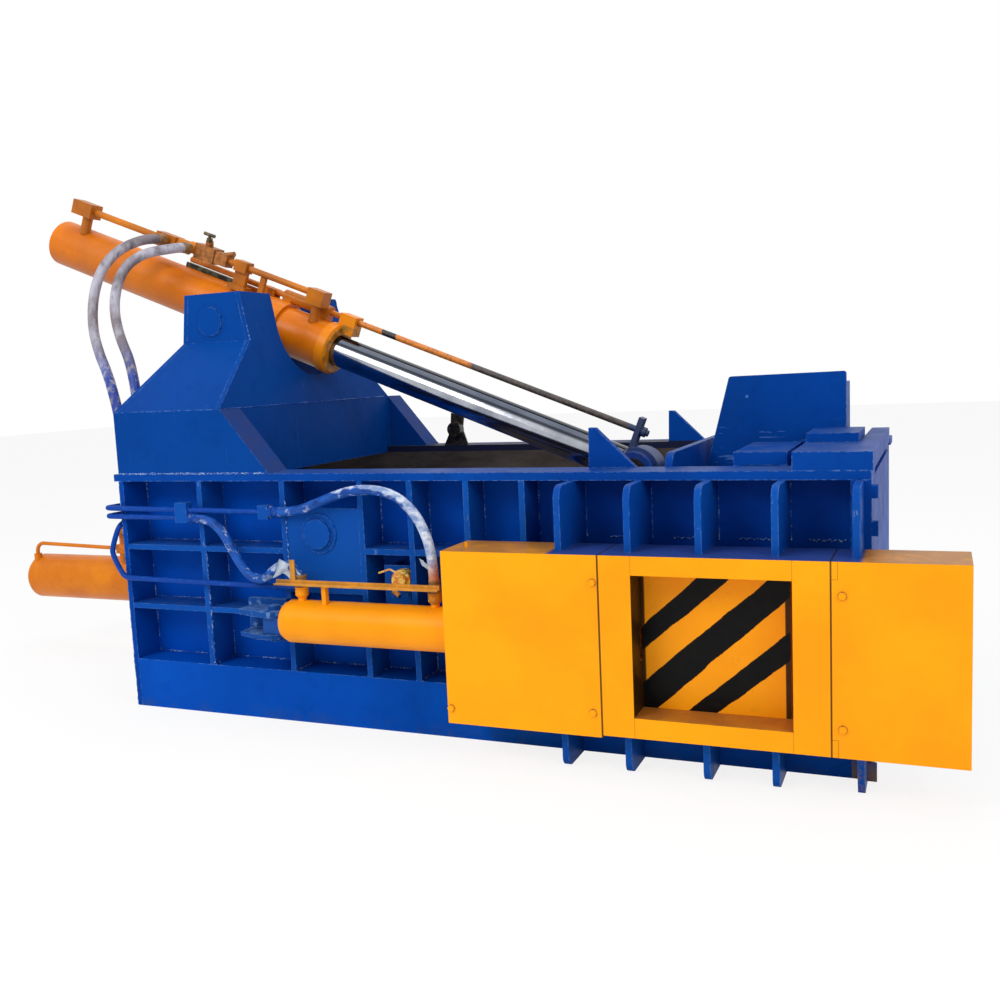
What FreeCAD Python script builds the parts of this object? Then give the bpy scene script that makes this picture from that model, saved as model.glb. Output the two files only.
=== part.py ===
"""Side push-out recycling baler.

Frame: origin at the centre of the skid's footprint on the ground, +X to the discharge end,
+Y to the back, +Z up. The gate and its cylinder are on the near (-Y) side. Millimetres.
"""
import FreeCAD, Part
import math
import os

os.makedirs("parts", exist_ok=True)
V = FreeCAD.Vector

# ---------------------------------------------------------------- driving dimensions
# main frame
FRAME_LEFT = -1650.0            # outer face of the left end plate
FRAME_RIGHT = 1670.0            # outer face of the end wall
FRAME_HALF_WIDTH = 845.0        # outer edge of base, ribs and flanges
CHAMBER_HALF_WIDTH = 655.0      # inner faces of the side walls
LEDGE_TOP = 230.0               # top of the base beams
FLANGE_TOP = 1110.0
FLANGE_THICKNESS = 33.0
FLANGE_OVERHANG = 27.0          # past the left end plate
WALL_THICKNESS = 35.0
DOUBLER_THICKNESS = 25.0        # second skin round the pressing chamber
PLATE = 25.0                    # ribs, stiffeners and gussets
END_WALL_THICKNESS = 69.0
END_WALL_STEP_Y = 413.0         # the end wall is thinner beyond this
END_WALL_STEP = 15.0
END_WALL_TABS = ((1013.0, 1060.0), (881.0, 933.0))     # small upright plates on its right face
BEAM_WALL = 15.0
FLOOR_LINER = 20.0
FLOOR_TOP = 235.0
CROSS_RIB_X = [-1200.0, -600.0, 0.0, 600.0, 1200.0]     # middle planes

# ribs and stiffeners on the side walls
RIB_X = [-1205.0, -762.0, -374.0, -139.0, 117.0, 359.0]
STIFFENER_RUNS = [               # left end, right end, middle height
    (-1625.0, -762.0, 770.0),
    (-1625.0, -985.0, 489.0),
    (-374.0, 142.0, 777.0),
]
BUTTRESS_HEAD_X = [568.0, 834.0, 1092.0, 1356.0, 1620.0]       # above the gate housing
BUTTRESS_FOOT_X = [568.0, 816.0, 1106.0, 1349.0, 1630.0]       # below it
FAR_BUTTRESS_X = [568.0, 800.0, 1480.0, 1620.0]
BUTTRESS_DEPTH = 1029.0
BUTTRESS_SHOULDER_R = 51.0
BUTTRESS_FOOT_R = 40.0
BUTTRESS_TOE = 60.0             # slope of the last foot

# lid hinge
HINGE_X = -572.0
HINGE_Z = 850.0
HINGE_SHAFT_D = 110.0
HINGE_BOSS_D = 164.0
HINGE_COLLAR = 6.0
HINGE_COLLAR_D = 172.0
HINGE_END = 16.0                # round end outside the collar
HINGE_END_D = 128.0
BOSS_PLATE_Z = (590.0, 960.0)
RUNNING_CLEARANCE = 0.06        # radial, shafts and pins in their bores

# cylinder tower
TOWER_LEFT = -1647.0
TOWER_CREASE_X = -1046.0
TOWER_CREASE_Z = 1396.0
TOWER_SHOULDER_Z = 1706.0
TOWER_TOP_Z = 1936.0
TOWER_NEAR_HEAD_Y = -505.0
TOWER_FAR_HEAD_Y = 350.0
TOWER_FAR_FOOT_Y = FRAME_HALF_WIDTH - 145.0
TOWER_FRONT_LEAN = 0.18         # run per rise of the front plate
TOWER_SHOULDER_LEFT = -1490.0
TOWER_TOP_LEFT = -1462.0
TOWER_PLATE = 22.0
TOWER_BOX_GAP = 43.0            # between a tower side box and the chamber
TOWER_BOX_WIDTH = FRAME_HALF_WIDTH - CHAMBER_HALF_WIDTH - TOWER_BOX_GAP
TOWER_BOX_TIP_X = -811.0
NOTCH_R = 245.0
NOTCH_Y = -15.0
FRONT_NOTCH_Z = 1778.0
REAR_NOTCH_Z = 1700.0

# lid cylinder
TRUNNION_X = -1320.0
TRUNNION_Z = 1803.0
TRUNNION_D = 120.0
TRUNNION_BOSS_D = 136.0
TRUNNION_CAP = 8.0              # closed outer end of each trunnion bush
TRUNNION_BUSH = 40.0            # inward of the tower's face
TRUNNION_END = 8.0              # shaft end inside the tower's face
LID_PIN_X = 620.0
LID_PIN_Z = 1032.0
LID_PIN_D = 100.0
LID_BARREL_D = 245.0
LID_BORE_D = 205.0
LID_BARREL_REAR = -1459.0       # along the axis from the trunnion
LID_BARREL_FRONT = 355.0
LID_CAP = 80.0
LID_GLAND_D = 262.0
LID_GLAND_FRONT = 415.0
LID_ROD_D = 156.0
LID_PISTON_REAR = 190.0
LID_PISTON_LENGTH = 100.0
LID_EYE_D = 216.0
LID_EYE_HALF_WIDTH = 70.0
LINKAGE_CLEARANCE = 2.5         # radial, rod in gland and piston in barrel
INDICATOR_D = 30.0
INDICATOR_Y = 20.0
INDICATOR_RISE = 166.0          # above the cylinder axis
INDICATOR_BACK = -600.0
LINE_RISE = 238.0               # oil line above the cylinder axis
LINE_Y = -60.0
LINE_D = 33.0
HOSE_STUB_END_Y = -112.0
VALVE_TILT = 20.0               # stem leans to the near side
VALVE_X = -435.0
VALVE_STEM_D = 16.0
VALVE_BODY_TOP = 34.0
OUTER_STUB = (-700.0, 229.0)    # along and above the cylinder's axis
INNER_STUB = (-530.0, 234.0)

# lid
LID_LEFT = -470.0
LID_RIGHT = 868.0
LID_BOTTOM = 790.0
LID_SKIN = 30.0
LID_TOP = 905.0
LID_SIDE_GAP = 12.0
LID_RIB_Y = [-CHAMBER_HALF_WIDTH + 55.0, -300.0, 275.0, CHAMBER_HALF_WIDTH - 80.0]
LID_BARREL_GAP = 15.0           # from the side walls to the outer hinge barrels
LID_BARREL_LENGTH = 200.0
LID_LUG_INNER = 78.0
LID_LUG_THICKNESS = 50.0
LID_LUG_R = 92.0
LID_BLADE_THICKNESS = 14.0
SHEAR_GAP = 4.0

# pressing chamber roof
ROOF_BOTTOM = 785.0
ROOF_SKIN = 40.0
CROSS_PLATE_X = 900.0
CROSS_PLATE_THICKNESS = 30.0
CROSS_PLATE_TOP = 1162.0
GUIDE_PLATE_Y = -62.0

# main ram
MAIN_AXIS_Z = 420.0
MAIN_BARREL_D = 256.0
MAIN_BORE_D = 206.0
MAIN_BARREL_REAR = -3067.0
MAIN_DOME_RISE = 40.0
MAIN_BARREL_FRONT = -1290.0
MAIN_GLAND = 90.0
MAIN_FLANGE_D = 360.0
MAIN_PORTS = (-3045.0, -2390.0)
MAIN_PORT_Y = -60.0             # on the near side of the crown
MAIN_ROD_D = 160.0
MAIN_PISTON = 110.0
RAM_BACK = -1150.0
RAM_FACE = -560.0
RAM_BOTTOM = 248.0
RAM_TOP = 760.0
RAM_SKIN = 30.0
RAM_FACE_THICKNESS = 60.0
FLOOR_SHOE_WIDTH = 200.0
FLOOR_SHOE_GAP = 55.0
SHOE_THICKNESS = 8.0
SLIDE_CLEARANCE = 2.0

# sliding gate on the near side
GATE_MID_Y = -FRAME_HALF_WIDTH - 99.0
GATE_THICKNESS = 26.0
GATE_LEFT = 236.0
GATE_RIGHT = 1408.0
GATE_WINDOW_LEFT = 317.0
GATE_PANEL_LEFT = 870.0
GATE_BOTTOM = 216.0
GATE_TOP = 789.0
HOUSING_FRONT = -FRAME_HALF_WIDTH - 251.0
HOUSING_BACK = -FRAME_HALF_WIDTH - 1.0
HOUSING_BOTTOM = 165.0
HOUSING_TOP = 835.0
LEFT_GUARD_BOTTOM = 156.0
OPENING_LEFT = 873.0
OPENING_RIGHT = 1431.0
OPENING_BOTTOM = 240.0
OPENING_TOP = 765.0
LEFT_GUARD = (126.0, 751.0)
LEFT_POST_LEFT = 752.0
RIGHT_POST_RIGHT = 1555.0
RIGHT_GUARD = (1556.0, 1985.0)
GUARD_SHEET = 8.0
TAB_WIDTH = 22.0                # corner tabs of the right post
TAB_HEIGHT = 60.0
BOLT_ACROSS = 24.0
BOLT_HEIGHT = 9.0

# gate cylinder
GATE_AXIS_Z = 487.0
GATE_BARREL_D = 184.0
GATE_BORE_D = 150.0
GATE_BARREL_REAR = -665.0
GATE_DOME = 46.0
GATE_BARREL_FRONT = 165.0
GATE_ROD_D = 80.0
GATE_PIN_D = 40.0
GATE_PIN_X = 276.0
GATE_PIN_REACH = 60.0           # below the axis
GATE_EAR_HALF = 40.0
GATE_EAR_Z = (28.0, 48.0)       # ears' faces above and below the axis
GATE_CHANNEL = 4.0              # clearance of rod and ears in the left post
CLEVIS_BACK = 95.0              # lug's hole behind the barrel
CLEVIS_PIN_D = 50.0
CLEVIS_PLATES = ((-77.0, -57.0), (19.0, 44.0))          # from the axis
ANGLE_Z = 651.0                 # underside of the pipe support angle
ANGLE_HEIGHT = 21.0
ANGLE_SHEET = 6.0
ANGLE_SPAN = (-716.0, 56.0)
ANGLE_OFFSET = 34.0             # in front of the cylinder's axis
ANGLE_POST_X = -491.0
GATE_PORTS = (-612.0, 18.0)
GATE_PORT_TOP = 638.0
GATE_PORT_D = 57.0
GATE_PORT_NECK_D = 36.0

# side ejector on the far side
EJECTOR_X = 1152.0
EJECTOR_Z = 502.0
EJECTOR_BARREL_D = 200.0
EJECTOR_BORE_D = 160.0
EJECTOR_ROD_D = 100.0
EJECTOR_STROKE = 1300.0
EJECTOR_PLATE_Y = FRAME_HALF_WIDTH
EJECTOR_PLATE = 40.0
PLATEN_THICKNESS = 45.0
PLATEN_GAP = 5.0

# sensor between two ribs
SENSOR_X = -187.0
SENSOR_Y = -FRAME_HALF_WIDTH + 43.0
SENSOR_Z = 660.0
SENSOR_SHEET = 12.0
SENSOR_PLATE_Z = (489.0, 714.0)

# hydraulic lines
PIPE_D = 25.0
PIPE_BEND_R = 50.0
PIPE_Y = -FRAME_HALF_WIDTH - 25.0
HOSE_D = 42.0
LID_HOSE_D = 50.0
HOSE_SIDES = 8
PIPE_SIDES = 8
CABLE_D = 9.0
CABLE_SIDES = 6
KNOB_SIDES = 16
SENSOR_KNOB = ((88.0, 44.0), (64.0, 66.0))      # diameter and reach of its two steps
BEND_SHARE = 0.45               # of the shorter run beside a bend
PIPE_TOP = 1040.0               # upright ends that the lid hoses stand on
LOWER_PIPE = (-1709.0, -600.0, 916.0)           # corner x, y of its upright end, height of its run
UPPER_PIPE = (-1711.0, -715.0, 955.0)
HOSE_GAP = 1.0                  # between a pipe's end and its hose

# ---------------------------------------------------------------- helpers


def box(x0, x1, y0, y1, z0, z1):
    return Part.makeBox(x1 - x0, y1 - y0, z1 - z0, V(x0, y0, z0))


def cyl(start, end, diameter):
    axis = V(*end).sub(V(*start))
    return Part.makeCylinder(diameter / 2.0, axis.Length, V(*start), axis)


def tube(start, end, outer, inner):
    return cyl(start, end, outer).cut(cyl(start, end, inner))


def fuse(shapes):
    first = shapes[0]
    if len(shapes) == 1:
        return first
    return first.fuse(shapes[1:]).removeSplitter()


def mirrored(shape):
    """Copy on the other side of the machine's long middle plane."""
    return shape.mirror(V(0, 0, 0), V(0, 1, 0))


def face_from(points, place):
    """Flat face from (a, b) or (a, b, corner radius) points; place turns (a, b) into a vector."""
    edges = []
    count = len(points)
    starts = []
    ends = []
    for i, point in enumerate(points):
        here = V(point[0], point[1], 0)
        if len(point) == 2:
            starts.append(here)
            ends.append(here)
            continue
        before = V(points[i - 1][0], points[i - 1][1], 0).sub(here).normalize()
        after = V(points[(i + 1) % count][0], points[(i + 1) % count][1], 0).sub(here).normalize()
        half = before.getAngle(after) / 2.0
        reach = point[2] / math.tan(half)
        first = here.add(before.multiply(reach))
        last = here.add(V(after).multiply(reach))
        inward = first.add(last).multiply(0.5).sub(here).normalize()
        centre = here.add(V(inward).multiply(point[2] / math.sin(half)))
        middle = centre.sub(V(inward).multiply(point[2]))
        edges.append(Part.Arc(place(first), place(middle), place(last)).toShape())
        starts.append(first)
        ends.append(last)
    for i in range(count):
        a = ends[i]
        b = starts[(i + 1) % count]
        if a.distanceToPoint(b) > 1e-6:
            edges.append(Part.LineSegment(place(a), place(b)).toShape())
    return Part.Face(Part.Wire(Part.__sortEdges__(edges)))


def prism_xz(points, y0, y1):
    face = face_from(points, lambda p: V(p.x, y0, p.y))
    return face.extrude(V(0, y1 - y0, 0))


def prism_yz(points, x0, x1):
    face = face_from(points, lambda p: V(x0, p.x, p.y))
    return face.extrude(V(x1 - x0, 0, 0))


def prism_xy(points, z0, z1):
    face = face_from(points, lambda p: V(p.x, p.y, z0))
    return face.extrude(V(0, 0, z1 - z0))


def turned(profile, start, direction):
    """Solid of revolution: (distance along the axis, radius) points, closed onto the axis."""
    points = [V(profile[0][0], 0, 0)]
    points += [V(a, r, 0) for a, r in profile]
    points += [V(profile[-1][0], 0, 0), V(profile[0][0], 0, 0)]
    clean = [points[0]]
    for point in points[1:]:
        if point.distanceToPoint(clean[-1]) > 1e-6:
            clean.append(point)
    face = Part.Face(Part.makePolygon(clean))
    solid = face.revolve(V(0, 0, 0), V(1, 0, 0), 360)
    turn = FreeCAD.Rotation(V(1, 0, 0), V(*direction))
    solid.Placement = FreeCAD.Placement(V(*start), turn)
    return solid


def solid_from(faces):
    """Sew faces that meet edge to edge into one solid."""
    shell = Part.Shell(faces)
    shell.sewShape()
    solid = Part.Solid(shell.Shells[0])
    if solid.Volume < 0:
        solid.reverse()
    return solid


def stacked(levels):
    """Flat-sided solid through level rectangles (z, left, right, near, far)."""
    rings = []
    for z, left, right, near, far in levels:
        rings.append([V(left, near, z), V(right, near, z), V(right, far, z), V(left, far, z)])
    faces = [Part.Face(Part.makePolygon(ring + ring[:1])) for ring in (rings[0], rings[-1])]
    for low, high in zip(rings, rings[1:]):
        for i in range(4):
            j = (i + 1) % 4
            faces.append(Part.Face(Part.makePolygon([low[i], low[j], high[j], high[i], low[i]])))
    return solid_from(faces)


def polygon_ring(centre, direction, diameter, sides):
    """Closed regular polygon about centre, square to direction, with its corners on the circle."""
    turn = FreeCAD.Rotation(V(0, 0, 1), direction)
    corners = []
    for k in range(sides):
        angle = 2 * math.pi * k / sides
        corner = V(math.cos(angle), math.sin(angle), 0).multiply(diameter / 2.0)
        corners.append(centre.add(turn.multVec(corner)))
    return Part.makePolygon(corners + corners[:1])


def bent_bar(points, diameter, sides, bend_radius):
    """Many-sided bar of straight runs and tangent bends, with its length and its bend radii."""
    nodes = [V(*point) for point in points]
    ring = polygon_ring(nodes[0], nodes[1].sub(nodes[0]), diameter, sides)
    faces = [Part.Face(ring)]
    radii = []
    length = 0.0
    at = nodes[0]
    for before, here, beyond in zip(nodes, nodes[1:], nodes[2:]):
        back = before.sub(here)
        ahead = beyond.sub(here)
        turn = math.pi - back.getAngle(ahead)
        reach = BEND_SHARE * min(back.Length, ahead.Length)
        if bend_radius is not None:
            reach = min(reach, bend_radius * math.tan(turn / 2.0))
        radius = reach / math.tan(turn / 2.0)
        back.normalize()
        ahead.normalize()
        run = here.add(V(back).multiply(reach)).sub(at)
        inward = V(back).add(ahead).normalize()
        centre = here.add(V(inward).multiply(radius / math.cos(turn / 2.0)))
        bend = (centre, ahead.cross(back), math.degrees(turn))
        faces += ring.extrude(run).Faces
        ring = ring.translated(run)
        faces += ring.revolve(*bend).Faces
        ring = ring.rotated(*bend)
        radii.append(radius)
        length += run.Length + radius * turn
        at = here.add(V(ahead).multiply(reach))
    run = nodes[-1].sub(at)
    faces += ring.extrude(run).Faces
    faces.append(Part.Face(ring.translated(run)))
    return solid_from(faces), length + run.Length, radii


def pipe(points, diameter, bend_radius):
    return bent_bar(points, diameter, PIPE_SIDES, bend_radius)[0]


def hose(name, points, diameter):
    """Bends as large as the runs allow."""
    solid, length, radii = bent_bar(points, diameter, HOSE_SIDES, None)
    section = HOSE_SIDES / 2.0 * (diameter / 2.0) ** 2 * math.sin(2 * math.pi / HOSE_SIDES)
    ratio = solid.Volume / (section * length)
    print(name, "length", round(length), "volume ratio", round(ratio, 4),
          "radii", [round(radius) for radius in radii])
    save(name, [solid])


def save(name, shapes):
    shape = shapes[0] if len(shapes) == 1 else Part.makeCompound(shapes)
    assert shape.isValid(), name
    shape.exportStep("parts/" + name + ".step")


def bolt_heads(points, direction, across, height):
    """Hexagon heads standing on a face, one per point."""
    heads = []
    for point in points:
        corners = []
        for k in range(7):
            angle = math.pi / 3.0 * k
            corners.append(V(0, math.cos(angle), math.sin(angle)).multiply(across / math.sqrt(3.0)))
        head = Part.Face(Part.makePolygon(corners)).extrude(V(height, 0, 0))
        head.Placement = FreeCAD.Placement(V(*point), FreeCAD.Rotation(V(1, 0, 0), V(*direction)))
        heads.append(head)
    return heads


# ---------------------------------------------------------------- worked-out sizes
INNER_LEFT = FRAME_LEFT + PLATE
INNER_RIGHT = FRAME_RIGHT - END_WALL_THICKNESS
FLANGE_BOTTOM = FLANGE_TOP - FLANGE_THICKNESS
WALL_OUTER = CHAMBER_HALF_WIDTH + WALL_THICKNESS
DOUBLER_OUTER = WALL_OUTER + DOUBLER_THICKNESS
EXIT_DUCT_WALL = OPENING_LEFT - (BUTTRESS_HEAD_X[1] + PLATE)
DUCT_LEFT = OPENING_LEFT - EXIT_DUCT_WALL
DUCT_RIGHT = OPENING_RIGHT + EXIT_DUCT_WALL
DUCT_TOP = OPENING_TOP + EXIT_DUCT_WALL

# ---------------------------------------------------------------- welded base and walls


def side_beam():
    outer = box(INNER_LEFT, INNER_RIGHT, -FRAME_HALF_WIDTH, -CHAMBER_HALF_WIDTH, 0, LEDGE_TOP)
    bore = box(INNER_LEFT, INNER_RIGHT, -FRAME_HALF_WIDTH + BEAM_WALL,
               -CHAMBER_HALF_WIDTH - BEAM_WALL, BEAM_WALL, LEDGE_TOP - BEAM_WALL)
    return outer.cut(bore)


def base_skid():
    near = side_beam()
    pieces = [near, mirrored(near)]
    for x in CROSS_RIB_X:
        pieces.append(box(x - PLATE / 2, x + PLATE / 2, -CHAMBER_HALF_WIDTH, CHAMBER_HALF_WIDTH, 0,
                          FLOOR_TOP - FLOOR_LINER))
    return fuse(pieces)


def exit_duct():
    """Four plates between the wall's doubler and the gate frame."""
    span = (HOUSING_BACK, -DOUBLER_OUTER)
    return [box(DUCT_LEFT, DUCT_RIGHT, *span, LEDGE_TOP, OPENING_BOTTOM),
            box(DUCT_LEFT, DUCT_RIGHT, *span, OPENING_TOP, DUCT_TOP),
            box(DUCT_LEFT, OPENING_LEFT, *span, OPENING_BOTTOM, OPENING_TOP),
            box(OPENING_RIGHT, DUCT_RIGHT, *span, OPENING_BOTTOM, OPENING_TOP)]


def side_wall():
    """Near side wall in two plates, and the doubler round the pressing chamber."""
    seam = BUTTRESS_HEAD_X[0]
    left = box(INNER_LEFT, seam, -WALL_OUTER, -CHAMBER_HALF_WIDTH, LEDGE_TOP, FLANGE_BOTTOM)
    right = box(seam, INNER_RIGHT, -WALL_OUTER, -CHAMBER_HALF_WIDTH, LEDGE_TOP, FLANGE_BOTTOM)
    doubler = box(seam, INNER_RIGHT, -DOUBLER_OUTER, -WALL_OUTER, LEDGE_TOP, FLANGE_BOTTOM)
    window = box(OPENING_LEFT, OPENING_RIGHT, -DOUBLER_OUTER, -CHAMBER_HALF_WIDTH,
                 OPENING_BOTTOM, OPENING_TOP)
    shaft = cyl((HINGE_X, -WALL_OUTER, HINGE_Z), (HINGE_X, -CHAMBER_HALF_WIDTH, HINGE_Z),
                HINGE_SHAFT_D + 2 * RUNNING_CLEARANCE)
    return [left.cut(shaft), right.cut(window), doubler.cut(window)]


def top_flange():
    return box(FRAME_LEFT - FLANGE_OVERHANG, FRAME_RIGHT, -FRAME_HALF_WIDTH, -CHAMBER_HALF_WIDTH,
               FLANGE_BOTTOM, FLANGE_TOP)


def left_end_plate():
    plate = box(FRAME_LEFT, INNER_LEFT, -FRAME_HALF_WIDTH, FRAME_HALF_WIDTH, 0, FLANGE_BOTTOM)
    hole = cyl((FRAME_LEFT, 0, MAIN_AXIS_Z), (INNER_LEFT, 0, MAIN_AXIS_Z), MAIN_BARREL_D)
    return plate.cut(hole)


def end_wall():
    thick = box(INNER_RIGHT, FRAME_RIGHT, -FRAME_HALF_WIDTH, END_WALL_STEP_Y, 0, FLANGE_BOTTOM)
    thin = box(INNER_RIGHT, FRAME_RIGHT - END_WALL_STEP, END_WALL_STEP_Y, FRAME_HALF_WIDTH, 0,
               FLANGE_BOTTOM)
    return fuse([thick, thin])


def side_ribs():
    """Welded grid of upright ribs, level stiffeners and the lid hinge's boss plate."""
    outer = -FRAME_HALF_WIDTH
    ribs = [box(x, x + PLATE, outer, -WALL_OUTER, LEDGE_TOP, FLANGE_BOTTOM) for x in RIB_X]
    levels = []
    for x0, x1, z in STIFFENER_RUNS:
        level = box(x0, x1, outer, -WALL_OUTER, z - PLATE / 2, z + PLATE / 2)
        levels += level.cut(ribs).Solids
    boss_plate = box(RIB_X[1] + PLATE, RIB_X[2], outer, outer + PLATE, *BOSS_PLATE_Z)
    boss = cyl((HINGE_X, outer + PLATE, HINGE_Z), (HINGE_X, -WALL_OUTER, HINGE_Z), HINGE_BOSS_D)
    shaft = cyl((HINGE_X, outer, HINGE_Z), (HINGE_X, -WALL_OUTER, HINGE_Z),
                HINGE_SHAFT_D + 2 * RUNNING_CLEARANCE)
    return ribs + levels + [boss_plate.cut(shaft), boss.cut(shaft)]


def sensor_bracket():
    """Upright tee between two ribs; it stands on the near wall."""
    x = SENSOR_X
    plate = box(x - 98, x + 22, SENSOR_Y, SENSOR_Y + SENSOR_SHEET, *SENSOR_PLATE_Z)
    web = box(x - 76, x - 76 + SENSOR_SHEET, SENSOR_Y + SENSOR_SHEET, -WALL_OUTER, *SENSOR_PLATE_Z)
    return fuse([plate, web])


def buttress(x):
    """Deep rib from the ground to the flange, with rounded shoulder and foot."""
    depth = -BUTTRESS_DEPTH
    side = -FRAME_HALF_WIDTH
    back = side if x > INNER_RIGHT else -DOUBLER_OUTER
    outline = [
        (side, 0), (depth, 0, BUTTRESS_FOOT_R), (depth, FLANGE_BOTTOM, BUTTRESS_SHOULDER_R),
        (back, FLANGE_BOTTOM),
    ]
    if back > side:
        outline += [(back, LEDGE_TOP), (side, LEDGE_TOP)]
    return prism_yz(outline, x, x + PLATE)


def near_buttress_head(x):
    """Deep rib above the gate housing, with the web behind it as far as the ledge or the duct."""
    depth = -BUTTRESS_DEPTH
    side = -FRAME_HALF_WIDTH
    back = side if x > INNER_RIGHT else -DOUBLER_OUTER
    outline = [
        (depth, HOUSING_TOP), (depth, FLANGE_BOTTOM, BUTTRESS_SHOULDER_R), (back, FLANGE_BOTTOM),
        (back, HOUSING_TOP),
    ]
    pieces = [prism_yz(outline, x, x + PLATE)]
    if back > side:
        beside_duct = x + PLATE > DUCT_LEFT and x < DUCT_RIGHT
        bottom = DUCT_TOP if beside_duct else LEDGE_TOP
        pieces.append(box(x, x + PLATE, side, back, bottom, HOUSING_TOP))
    return pieces


def near_buttress_foot(x):
    """Short rib from the ground to the gate housing; the last one's toe slopes back."""
    depth = -BUTTRESS_DEPTH
    side = -FRAME_HALF_WIDTH
    top = LEFT_GUARD_BOTTOM if x < LEFT_GUARD[1] else HOUSING_BOTTOM
    toe = (depth + BUTTRESS_TOE, 0) if x > INNER_RIGHT else (depth, 0, BUTTRESS_FOOT_R)
    return prism_yz([(side, 0), toe, (depth, top), (side, top)], x, x + PLATE)


def near_buttresses():
    pieces = []
    for x in BUTTRESS_HEAD_X:
        pieces += near_buttress_head(x)
    return pieces + [near_buttress_foot(x) for x in BUTTRESS_FOOT_X]


def build_frame():
    save("base_skid", [base_skid()])
    save("floor_liner", [box(INNER_LEFT, INNER_RIGHT, -CHAMBER_HALF_WIDTH, CHAMBER_HALF_WIDTH,
                             FLOOR_TOP - FLOOR_LINER, FLOOR_TOP)])
    wall = side_wall()
    save("near_wall", wall + exit_duct())
    save("far_wall", [mirrored(piece) for piece in wall])
    lug = prism_xz([(600, FLANGE_TOP), (604, 1269), (631, 1268), (792, FLANGE_TOP)],
                   -CHAMBER_HALF_WIDTH - 30, -CHAMBER_HALF_WIDTH)
    flange = fuse([top_flange(), lug])
    save("top_flanges", [flange, mirrored(flange)])
    save("left_end_plate", [left_end_plate()])
    foot = box(FRAME_RIGHT - END_WALL_STEP, FRAME_RIGHT + 16, -FRAME_HALF_WIDTH - 12,
               -FRAME_HALF_WIDTH, 0, 68)
    tabs = [box(FRAME_RIGHT, FRAME_RIGHT + 22, -FRAME_HALF_WIDTH, -FRAME_HALF_WIDTH + PLATE, z0, z1)
            for z0, z1 in END_WALL_TABS]
    save("end_wall", [end_wall(), foot] + tabs)
    ribs = side_ribs()
    save("near_side_ribs", ribs + [sensor_bracket()])
    save("far_side_ribs", [mirrored(rib) for rib in ribs])
    save("near_buttress_ribs", near_buttresses())
    save("far_buttress_ribs", [mirrored(buttress(x)) for x in FAR_BUTTRESS_X])


# ---------------------------------------------------------------- cylinder tower


def front_x(z):
    return TOWER_CREASE_X - TOWER_FRONT_LEAN * (z - TOWER_CREASE_Z)


def tower_shell(inset):
    """Solid that fills the tower, drawn in by inset at its near and far faces."""
    levels = [
        (TOWER_CREASE_Z, TOWER_LEFT, -FRAME_HALF_WIDTH, TOWER_FAR_FOOT_Y),
        (TOWER_SHOULDER_Z, TOWER_SHOULDER_LEFT, TOWER_NEAR_HEAD_Y, TOWER_FAR_HEAD_Y),
        (TOWER_TOP_Z, TOWER_TOP_LEFT, TOWER_NEAR_HEAD_Y, TOWER_FAR_HEAD_Y),
    ]
    return stacked([(z, left, front_x(z), near + inset, far - inset) for z, left, near, far in levels])


def leaning_strip(points, thickness):
    """Upright band of plate that follows (x, z) points on its outer side."""
    outline = list(points) + [(x + thickness, z) for x, z in reversed(points)]
    return prism_xz(outline, -FRAME_HALF_WIDTH, FRAME_HALF_WIDTH)


def notch(z):
    """Round-bottomed slot that lets the cylinder swing."""
    y0 = NOTCH_Y - NOTCH_R
    y1 = NOTCH_Y + NOTCH_R
    top = TOWER_TOP_Z + 50
    slot = box(TOWER_LEFT - 100, TOWER_CREASE_X + 100, y0, y1, z, top)
    return fuse([slot, cyl((TOWER_LEFT - 100, NOTCH_Y, z), (TOWER_CREASE_X + 100, NOTCH_Y, z),
                           2 * NOTCH_R)])


def tower_box():
    """Plate box that stands on the near flange and carries the tower."""
    outline = [
        (TOWER_LEFT, FLANGE_TOP), (TOWER_LEFT, TOWER_CREASE_Z), (TOWER_CREASE_X, TOWER_CREASE_Z),
        (TOWER_BOX_TIP_X, FLANGE_TOP),
    ]
    outer = prism_xz(outline, -FRAME_HALF_WIDTH, -FRAME_HALF_WIDTH + TOWER_BOX_WIDTH)
    t = TOWER_PLATE
    inside = [
        (TOWER_LEFT + t, FLANGE_TOP), (TOWER_LEFT + t, TOWER_CREASE_Z - t),
        (TOWER_CREASE_X - t * 0.6, TOWER_CREASE_Z - t), (TOWER_BOX_TIP_X - t * 1.5, FLANGE_TOP),
    ]
    hollow = prism_xz(inside, -FRAME_HALF_WIDTH + t, -FRAME_HALF_WIDTH + TOWER_BOX_WIDTH - t)
    return outer.cut(hollow)


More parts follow.
